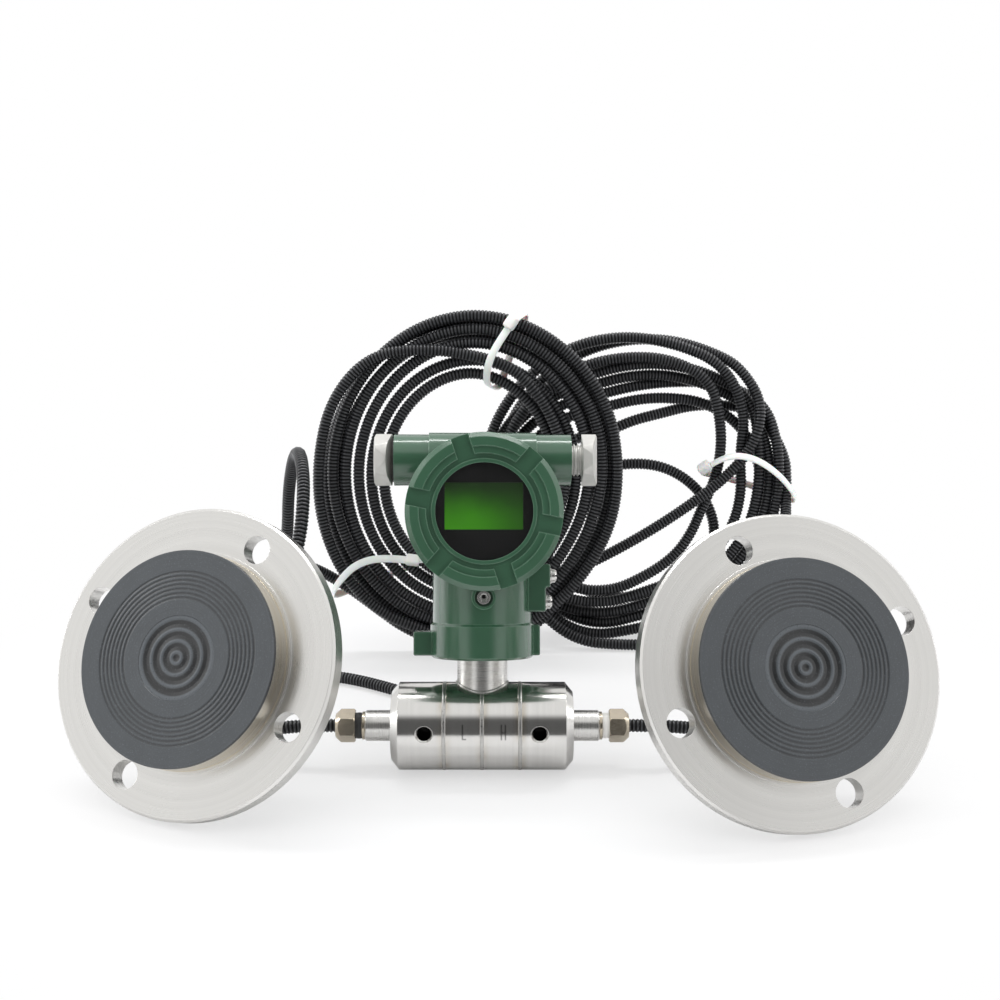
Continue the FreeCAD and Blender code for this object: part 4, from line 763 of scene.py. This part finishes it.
RIGHT_MIDDLE = [
    (-882, 3, -6), (-900, 3, -3), (-945, 20, -2), (-960, 29, -5), (-990, 29, -6), (-1020, 22, -4),
    (-1035, 14, -2), (-1048, 11.6, -4), (-1056, 18, -7), (-1064, 28, -8), (-1070, 31, -8), (-1125, 32, -8),
    (-1170, 28, -8), (-1195, 5, -8), (-1220, 5, 3), (-1260, 4, 6), (-1305, 26, 6), (-1320, 38, -2),
    (-1350, 37, -4), (-1380, 28, 4), (-1395, 18, 6), (-1408, 12, 5), (-1420, 14, 0), (-1429, 18.5, -6),
    (-1485, 22, -8), (-1530, 19, -8), (-1555, -4, -8), (-1580, 13, 8), (-1620, 13, 9), (-1665, 35, 4),
    (-1680, 46, 0), (-1710, 46, -3), (-1740, 36, 8), (-1755, 16, 6), (-1764, 6, 2), (-1775, 6.9, -4),
    (-1783, 7.7, -7), (-1789, 9.5, -8), (-1845, 12, -7), (-1890, 10, -6), (-1915, -6, -8), (-1940, 12, 0),
    (-1980, 23, -2), (-2025, 46, 0), (-2040, 58, 0), (-2070, 56, -2), (-2100, 48, 4), (-2115, 36, 6),
    (-2135, 30, 4), (-2149, 27, 3), (-2205, 24, 4), (-2250, 14, 4), (-2275, 8, 2), (-2290, 16, 1)]
RIGHT_DROP = [
    (27, 239, 66), (27, 246, 92), (44, 251, 114), (72, 254, 129), (102, 253, 136), (130, 250, 136),
    (153, 246, 126), (170, 243, 109), (178, 240, 86), (174, 238, 63), (157, 236, 46)]
RIGHT_LAST = [
    (-2600, 33, 3), (-2610, 30, 4), (-2635, 24, 4), (-2700, 40, 4), (-2730, 60, 3), (-2760, 76, 0),
    (-2775, 76, -3), (-2790, 71, -3), (-2805, 66, 0), (-2820, 56, 8), (-2835, 30, 11), (-2848, 12, 10),
    (-2857, 8, 4), (-2868, 8, -4)]

# How the turns are laid and settled, in millimetres, degrees and shares
POINTS_PER_TURN = 18
SAMPLES_PER_SPAN = 4
SETTLE_ROUNDS = 150
STRAND_GAP = 9.0
PUSH_SHARE = 0.6
FLOOR_GAP = 4.7
TIE_DEPTH = 11.3
TIE_HALF_WIDTH = 5.0
TIE_INNER = 0.42
EVENING = 0.04


def coil_axes(coil):
    """The across, back and up directions of a leaning coil, as rows."""
    lean = math.radians(coil["lean"])
    return np.array([(1, 0, 0), (0, math.cos(lean), -math.sin(lean)), (0, math.sin(lean), math.cos(lean))])


def coil_points(coil, lay):
    """Turns of a coil: an oval that runs clockwise, less the inset, moved back, as the lay says."""
    lay = np.array(lay, float)
    sweep = lay[0, 0] - lay[-1, 0]
    count = int(round(sweep / 360 * POINTS_PER_TURN)) + 1
    turned = np.linspace(0.0, sweep, count)
    inset = np.interp(turned, lay[0, 0] - lay[:, 0], lay[:, 1])
    back = np.interp(turned, lay[0, 0] - lay[:, 0], lay[:, 2])
    angle = np.radians(lay[0, 0] - turned)
    # A quadratic spline runs inside its control points, so they move out by about as much
    outward = 1.0 / (0.5 + 0.5 * math.cos(math.pi / POINTS_PER_TURN))
    across = (coil["half"][0] - inset) * outward * np.cos(angle)
    rise = (coil["half"][1] - inset) * outward * np.sin(angle)
    return np.column_stack([across, back, rise]) @ coil_axes(coil) + np.array(coil["centre"])


def spline_shares(count):
    """Shares of the control points in samples of a quadratic spline, a few to each span.

    At t of a span the three nearest control points count (1 - t)^2 / 2, 1/2 + t - t^2 and t^2 / 2.
    """
    t = np.arange(SAMPLES_PER_SPAN) / SAMPLES_PER_SPAN
    span = np.arange(count - 2)
    shares = np.zeros((count - 2, SAMPLES_PER_SPAN, count))
    shares[span, :, span] = 0.5 * (1 - t) ** 2
    shares[span, :, span + 1] = 0.5 + t - t ** 2
    shares[span, :, span + 2] = 0.5 * t ** 2
    return shares.reshape(-1, count)


def settle(points, coil, first, last):
    """Push a coil's strands apart until they lie beside each other, above the floor and inside the ties.

    In each round, samples of the spline that are nearer than a diameter move apart by a share of what is
    missing, those in a tie come back to its depth, and those under the floor rise. The control points
    from first to last follow their samples, and their moves are evened out along the hose.
    """
    shares = spline_shares(len(points))
    back_shares = shares.T / np.maximum(shares.T.sum(axis=1, keepdims=True), TINY)
    centre = np.array(coil["centre"])
    axes = coil_axes(coil)
    index = np.arange(len(shares))
    apart = np.abs(index[:, None] - index[None, :]) > 2 * SAMPLES_PER_SPAN
    start = points.copy()
    for _ in range(SETTLE_ROUNDS):
        line = shares @ points
        away = line[:, None, :] - line[None, :, :]
        distance = np.sqrt((away ** 2).sum(axis=2)) + TINY
        missing = np.where(apart, np.clip(STRAND_GAP - distance, 0.0, None), 0.0)
        push = (away * (PUSH_SHARE * missing / distance)[:, :, None]).sum(axis=1)
        push /= np.maximum((missing > 0).sum(axis=1), 1)[:, None]
        local = (line + push - centre) @ axes.T
        oval = local[:, [0, 2]] / np.array(coil["half"])
        angle = np.degrees(np.arctan2(oval[:, 1], oval[:, 0]))
        for tie in coil["ties"]:
            tied = np.abs((angle - tie + 180) % 360 - 180) < TIE_HALF_WIDTH
            tied &= np.hypot(oval[:, 0], oval[:, 1]) > TIE_INNER
            local[tied, 1] = np.clip(local[tied, 1], -TIE_DEPTH, TIE_DEPTH)
        moved = local @ axes + centre
        moved[:, 2] = np.maximum(moved[:, 2], FLOOR_GAP)
        points[first:last] += (back_shares @ (moved - line))[first:last]
        shift = points - start
        evened = 0.5 * (np.roll(shift, 1, axis=0) + np.roll(shift, -1, axis=0))
        points[first:last] += EVENING * (evened - shift)[first:last]
    return points


def hose_route(side):
    """Control points of one hose from its nut, through its coil, to its gland, in metres."""
    if side == "left":
        start, end, coil = LEFT_NUT + LEFT_LEAD, LEFT_GLAND + LEFT_TAIL, LEFT_COIL
        body = [coil_points(coil, LEFT_TURNS)]
    else:
        start, end, coil = RIGHT_NUT + RIGHT_LEAD, RIGHT_GLAND + RIGHT_TAIL, RIGHT_COIL
        body = [coil_points(coil, RIGHT_FIRST), RIGHT_CHORD, coil_points(coil, RIGHT_MIDDLE), RIGHT_DROP,
                coil_points(coil, RIGHT_LAST)]
    points = np.concatenate([np.array(run, float) for run in [start, *body, end[::-1]]])
    return settle(points, coil, len(start) - 1, len(points) - len(end)) * MM


# Settings

def colour_setting(name, description, default):
    """A colour that a user can change."""
    return FloatVectorProperty(name=name, description=description, subtype="COLOR", default=default)


def length_setting(name, description, default):
    """A length that a user can change, in metres."""
    return FloatProperty(name=name, description=description, unit="LENGTH", default=default)


class TransmitterFinishes(bpy.types.PropertyGroup):
    """Colours of the object's finishes."""
    paint: colour_setting("Paint", "Green of the cast housing and covers", (0.034, 0.100, 0.055))
    steel: colour_setting("Steel", "Satin stainless steel", (0.76, 0.75, 0.725))
    straw: colour_setting("Straw", "Straw tint of the turned boss", (0.62, 0.55, 0.42))
    heat: colour_setting("Heat tint", "Brown tint beside the welded seams", (0.40, 0.33, 0.22))
    nickel: colour_setting("Nickel", "Brownish plated nuts", (0.62, 0.55, 0.44))
    plug: colour_setting("Plug", "Satin conduit plugs", (0.70, 0.69, 0.66))
    diaphragm: colour_setting("Diaphragm", "Dark coat of the diaphragms", (0.033, 0.038, 0.043))
    hose: colour_setting("Hose", "Black hose sheath", (0.004, 0.004, 0.0045))
    # The hose crest colour is a painted highlight on the crests of the hose's ribs.
    hose_crest_highlight: colour_setting("Hose crest", "Rubbed ribs of the hose", (0.045, 0.047, 0.052))
    nylon: colour_setting("Nylon", "Natural nylon of the cable ties", (0.80, 0.80, 0.78))
    screen: colour_setting("Screen", "Glow of the display", (0.032, 0.20, 0.001))


class TransmitterHoses(bpy.types.PropertyGroup):
    """Sizes of the armoured capillary hoses and their cable ties."""
    hose_diameter: length_setting("Diameter", "Hose over its ribs", 0.009)
    rib_pitch: length_setting("Rib pitch", "From rib to rib", 0.0026)
    rib_depth: length_setting("Rib depth", "Depth of the groove", 0.001)
    hose_sides: IntProperty(name="Sides", description="Points round the hose", default=10, min=8, max=32)
    strap_width: length_setting("Strap width", "Cable tie strap", 0.0058)
    strap_thickness: length_setting("Strap thickness", "Cable tie strap", 0.0013)
    head_length: length_setting("Head length", "Cable tie head", 0.0105)


class TransmitterStudio(bpy.types.PropertyGroup):
    """Camera and light."""
    lens: FloatProperty(name="Lens", description="Focal length", unit="CAMERA", default=54.22)
    eye: FloatVectorProperty(name="Eye", description="Camera position", subtype="TRANSLATION",
                             default=(0.004445, -0.90455, 0.45653))
    pitch: FloatProperty(name="Pitch", description="Camera below the horizon", unit="ROTATION",
                         default=math.radians(16.87))
    ambient: FloatProperty(name="Ambient", description="Level of the light from all round", default=0.5)
    front_shade: FloatProperty(name="Front shade", description="Darkness of the room behind the camera",
                               default=0.88, subtype="FACTOR", min=0.0, max=1.0)


# Operators

class TRANSMITTER_OT_ties(bpy.types.Operator):
    """Cable ties of natural nylon round the coils"""
    bl_idname = "transmitter.ties"
    bl_label = "Cable ties"

    def execute(self, context):
        nylon = moulded("natural_nylon", context.scene.transmitter_finishes.nylon, roughness=0.3,
                        **{"Subsurface Weight": 0.25, "Subsurface Scale": 0.004})
        for name, points in STRAPS.items():
            piece = cable_tie(f"{name}_strap", points, context.scene.transmitter_hoses)
            give([piece.name], nylon)
            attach(piece, "sensor_base")
            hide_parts(f"{name}_tie")
        return {"FINISHED"}


class TRANSMITTER_OT_hoses(bpy.types.Operator):
    """Ribbed hoses from the barrel's nuts, through their coils, to the flanges' glands"""
    bl_idname = "transmitter.hoses"
    bl_label = "Hoses"

    def execute(self, context):
        look = context.scene.transmitter_hoses
        sheath = hose_sheath(context.scene.transmitter_finishes)
        for side in ("left", "right"):
            line = spline_line(hose_route(side))
            piece, centres = ribbed_tube(f"{side}_hose", line, look)
            give([piece.name], sheath)
            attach(piece, "sensor_base")
            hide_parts(f"{side}_hose_lead", f"{side}_hose_coil", f"{side}_hose_tail")
        return {"FINISHED"}


class TRANSMITTER_OT_casting(bpy.types.Operator):
    """Green paint on the housing and both covers"""
    bl_idname = "transmitter.casting"
    bl_label = "Housing and covers"

    def execute(self, context):
        give(["housing", "front_cover", "rear_cover"], paint(context.scene.transmitter_finishes))
        return {"FINISHED"}


class TRANSMITTER_OT_flanges(bpy.types.Operator):
    """Turned steel on the flanges and a dark coat on their diaphragms"""
    bl_idname = "transmitter.flanges"
    bl_label = "Flanged seals"

    def execute(self, context):
        look = context.scene.transmitter_finishes
        for side in ("left", "right"):
            matrix = flange_frame(side)
            give([f"{side}_flange"], plate_steel(f"{side}_plate_steel", look, matrix))
            back = turned_steel(f"{side}_back_steel", look, matrix, axis=2)
            give([f"{side}_gland", f"{side}_fill_screw"], back)
            give([f"{side}_diaphragm"], diaphragm_coat(f"{side}_diaphragm_coat", look, matrix))
        return {"FINISHED"}


class TRANSMITTER_OT_sensor(bpy.types.Operator):
    """Turned steel on the barrel, stem and ports, and plated fittings"""
    bl_idname = "transmitter.sensor"
    bl_label = "Sensor barrel"

    def execute(self, context):
        look = context.scene.transmitter_finishes
        matrix = sensor_frame()
        give(["end_block_left", "end_block_right", "cell_half_left", "cell_half_right",
              "isolating_diaphragm_left", "isolating_diaphragm_right", "sensor_capsule"],
             barrel_steel(look, matrix))
        give(["port_stub_left", "port_stub_right"], turned_steel("port_steel", look, matrix, axis=0))
        give(["sensor_stem", "stem_snap_ring"], turned_steel("stem_steel", look, matrix, axis=2))
        bead = plain_metal("weld_bead", scaled(look.steel, 0.8), roughness=0.22, scale=900.0)
        give(["seam_welds", "stem_weld"], bead)
        nickel = plain_metal("brown_nickel", look.nickel, roughness=0.16)
        give(["union_left", "union_right", "capillary_nut_left", "capillary_nut_right"], nickel)
        give(["sealing_washer"], moulded("black_washer", WASHER, roughness=0.5))
        give(["thread_tape"], moulded("white_tape", TAPE, roughness=0.5))
        return {"FINISHED"}


class TRANSMITTER_OT_fittings(bpy.types.Operator):
    """Plugs, screws, washers and seals of the housing"""
    bl_idname = "transmitter.fittings"
    bl_label = "Housing fittings"

    def execute(self, context):
        look = context.scene.transmitter_finishes
        plated = plain_metal("satin_plug", look.plug, roughness=0.34, metallic=0.45)
        give(["conduit_plug_left", "conduit_plug_right"], plated)
        bright = plain_metal("bright_screw", look.steel, roughness=0.18)
        give(["ground_screws", "ground_washers", "glass_retainer", "board_spacers", "terminal_screws"],
             bright)
        low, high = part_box("cover_lock_screw")
        matrix = case_frame()
        matrix.translation = (Vector(low) + Vector(high)) / 2
        give(["cover_lock_screw"], socket_screw(look, matrix))
        rubber = moulded("black_rubber", RUBBER, roughness=0.55)
        give(["plug_seal", "window_gasket", "front_cover_seal", "rear_cover_seal"], rubber)
        return {"FINISHED"}


class TRANSMITTER_OT_display(bpy.types.Operator):
    """Window, bezel, lit screen, board and terminal block"""
    bl_idname = "transmitter.display"
    bl_label = "Display"

    def execute(self, context):
        look = context.scene.transmitter_finishes
        black = moulded("black_bezel", BEZEL, roughness=0.35, texture=0.000002,
                        **{"Specular IOR Level": 0.2})
        give(["display_bezel", "terminal_block"], black)
        give(["lcd_panel"], lit_screen(look, case_frame()))
        give(["display_board"], moulded("circuit_board", BOARD, roughness=0.4))
        give(["window_glass"], window_pane())
        return {"FINISHED"}


# Lamps: name, place, aim, width and height, radiance, and whether gloss shows them
OBJECT_MIDDLE = (0.0, 0.05, 0.1)
STRIP_AIM = (0.0, 0.03, 0.15)
LAMPS = [
    ("overhead", (0.0, -0.15, 1.6), OBJECT_MIDDLE, (2.0, 2.0), 0.8, False),
    ("top_strip", (0.0, 0.55, 1.75), OBJECT_MIDDLE, (1.8, 0.14), 12.0, True),
    ("left_front", (-1.25, -0.7, 0.75), OBJECT_MIDDLE, (1.0, 1.0), 1.1, False),
    ("right_front", (1.1, -0.9, 0.8), OBJECT_MIDDLE, (1.0, 1.0), 0.9, False),
    ("left_strip", (-1.3, 0.35, 0.6), STRIP_AIM, (0.2, 1.2), 5.0, True),
    ("right_strip", (1.3, 0.5, 0.6), STRIP_AIM, (0.2, 1.2), 3.0, True)]
FILM_WIDTH = 36.0

# Floor, in metres: half its side, its middle behind the origin, where white comes in, and its near share
FLOOR_HALF = 6.0
FLOOR_MIDDLE = 0.08
FLOOR_WHITE = (0.2, 0.42)
FLOOR_NEAR = 0.55

# Dark part of the room: its direction, and the stretch of cosines over which it comes in
DARK_SIDE = (0.0, -0.94, 0.34)
DARK_REACH = (0.80, 0.95)


class TRANSMITTER_OT_stage(bpy.types.Operator):
    """Pale floor, soft light and the camera of the photograph"""
    bl_idname = "transmitter.stage"
    bl_label = "Stage"

    def execute(self, context):
        studio = context.scene.transmitter_studio
        add_floor()
        add_world(context.scene, studio)
        for lamp in LAMPS:
            add_softbox(*lamp)
        add_camera(context.scene, studio)
        context.scene.view_settings.view_transform = "Standard"
        return {"FINISHED"}


def add_camera(scene, studio):
    """Camera that looks along +Y, pitched down."""
    lens = bpy.data.cameras.new("camera")
    lens.lens = studio.lens
    lens.sensor_width = FILM_WIDTH
    camera = bpy.data.objects.new("camera", lens)
    camera.location = studio.eye
    camera.rotation_euler = (math.pi / 2 - studio.pitch, 0.0, 0.0)
    scene.collection.objects.link(camera)
    scene.camera = camera


def add_floor():
    """Large flat floor: white to the camera far from the object, and shaded by it near by."""
    points = np.array([(-1, -1, 0), (1, -1, 0), (1, 1, 0), (-1, 1, 0)]) * FLOOR_HALF
    floor = new_mesh_piece("floor", points, [[0, 1, 2, 3]], smooth=False)
    finish = Finish("pale_floor", Roughness=0.6)
    finish.set({"Base Color": PALE_FLOOR, "Specular IOR Level": 0.2})
    x, y, _ = finish.parts(finish.place())
    clean = finish.between(*FLOOR_WHITE, axis_distance(x, y - FLOOR_MIDDLE))
    seen = finish.node("LightPath", output="Is Camera Ray")
    share = seen * (FLOOR_NEAR + (1.0 - FLOOR_NEAR) * clean)
    glow = finish.node("Emission", {}, {"Color": WHITE, "Strength": 1.0})
    surface = Value(finish, finish.shader.outputs[0])
    blend = finish.node("MixShader", {}, {0: share, 1: surface, 2: glow})
    finish.feed(finish.tree.nodes["Material Output"].inputs["Surface"], blend)
    floor.data.materials.append(finish.material)


def add_world(scene, studio):
    """White surroundings for camera, gloss and glass, darker behind the camera, and a dimmer even light."""
    world = bpy.data.worlds.new("studio")
    scene.world = world
    world.use_nodes = True
    sky = Shading(world.node_tree)
    path = sky.node("LightPath")
    seen = path.output("Is Camera Ray")
    mirrored = path.output("Is Glossy Ray").math("MAXIMUM", path.output("Is Glossy Ray"),
                                                 path.output("Is Transmission Ray"))
    direction = sky.node("TexCoord", output="Generated")
    facing = sky.node("VectorMath", {"operation": "DOT_PRODUCT"}, {0: direction, 1: DARK_SIDE},
                      output="Value")
    gloss = 1.0 - studio.front_shade * sky.between(*DARK_REACH, facing)
    level = mirrored * gloss + (1.0 - mirrored) * studio.ambient
    strength = seen + (1.0 - seen) * level
    background = world.node_tree.nodes["Background"]
    sky.feed(background.inputs["Color"], WHITE)
    sky.feed(background.inputs["Strength"], strength)


def add_softbox(name, place, aim, size, radiance, glossy):
    """Rectangular area light of an even radiance that looks at a point."""
    data = bpy.data.lights.new(name, "AREA")
    data.shape = "RECTANGLE"
    data.size, data.size_y = size
    # Cycles gives an area light a quarter of its power per area as radiance
    data.energy = 4.0 * size[0] * size[1] * radiance
    lamp = bpy.data.objects.new(name, data)
    lamp.location = place
    lamp.rotation_euler = (Vector(aim) - Vector(place)).to_track_quat("-Z", "Y").to_euler()
    lamp.visible_camera = False
    lamp.visible_glossy = glossy
    bpy.context.scene.collection.objects.link(lamp)


class TRANSMITTER_PT_panel(bpy.types.Panel):
    """Lists the pieces of the transmitter"""
    bl_label = "Transmitter"
    bl_idname = "TRANSMITTER_PT_panel"
    bl_space_type = "VIEW_3D"
    bl_region_type = "UI"
    bl_category = "Transmitter"

    def draw(self, context):
        for operator in OPERATORS:
            self.layout.operator(operator.bl_idname)


OPERATORS = [TRANSMITTER_OT_ties, TRANSMITTER_OT_hoses, TRANSMITTER_OT_casting, TRANSMITTER_OT_flanges,
             TRANSMITTER_OT_sensor, TRANSMITTER_OT_fittings, TRANSMITTER_OT_display, TRANSMITTER_OT_stage]
CLASSES = [TransmitterFinishes, TransmitterHoses, TransmitterStudio] + OPERATORS + [TRANSMITTER_PT_panel]


def register():
    """Register the classes, and give the scene their settings."""
    for item in CLASSES:
        bpy.utils.register_class(item)
    bpy.types.Scene.transmitter_finishes = PointerProperty(type=TransmitterFinishes)
    bpy.types.Scene.transmitter_hoses = PointerProperty(type=TransmitterHoses)
    bpy.types.Scene.transmitter_studio = PointerProperty(type=TransmitterStudio)


def unregister():
    """Take the settings and the classes away again."""
    del bpy.types.Scene.transmitter_studio
    del bpy.types.Scene.transmitter_hoses
    del bpy.types.Scene.transmitter_finishes
    for item in reversed(CLASSES):
        bpy.utils.unregister_class(item)


def main():
    register()
    bpy.ops.transmitter.ties()
    bpy.ops.transmitter.hoses()
    bpy.ops.transmitter.casting()
    bpy.ops.transmitter.flanges()
    bpy.ops.transmitter.sensor()
    bpy.ops.transmitter.fittings()
    bpy.ops.transmitter.display()
    bpy.ops.transmitter.stage()


if __name__ == "__main__":
    main()
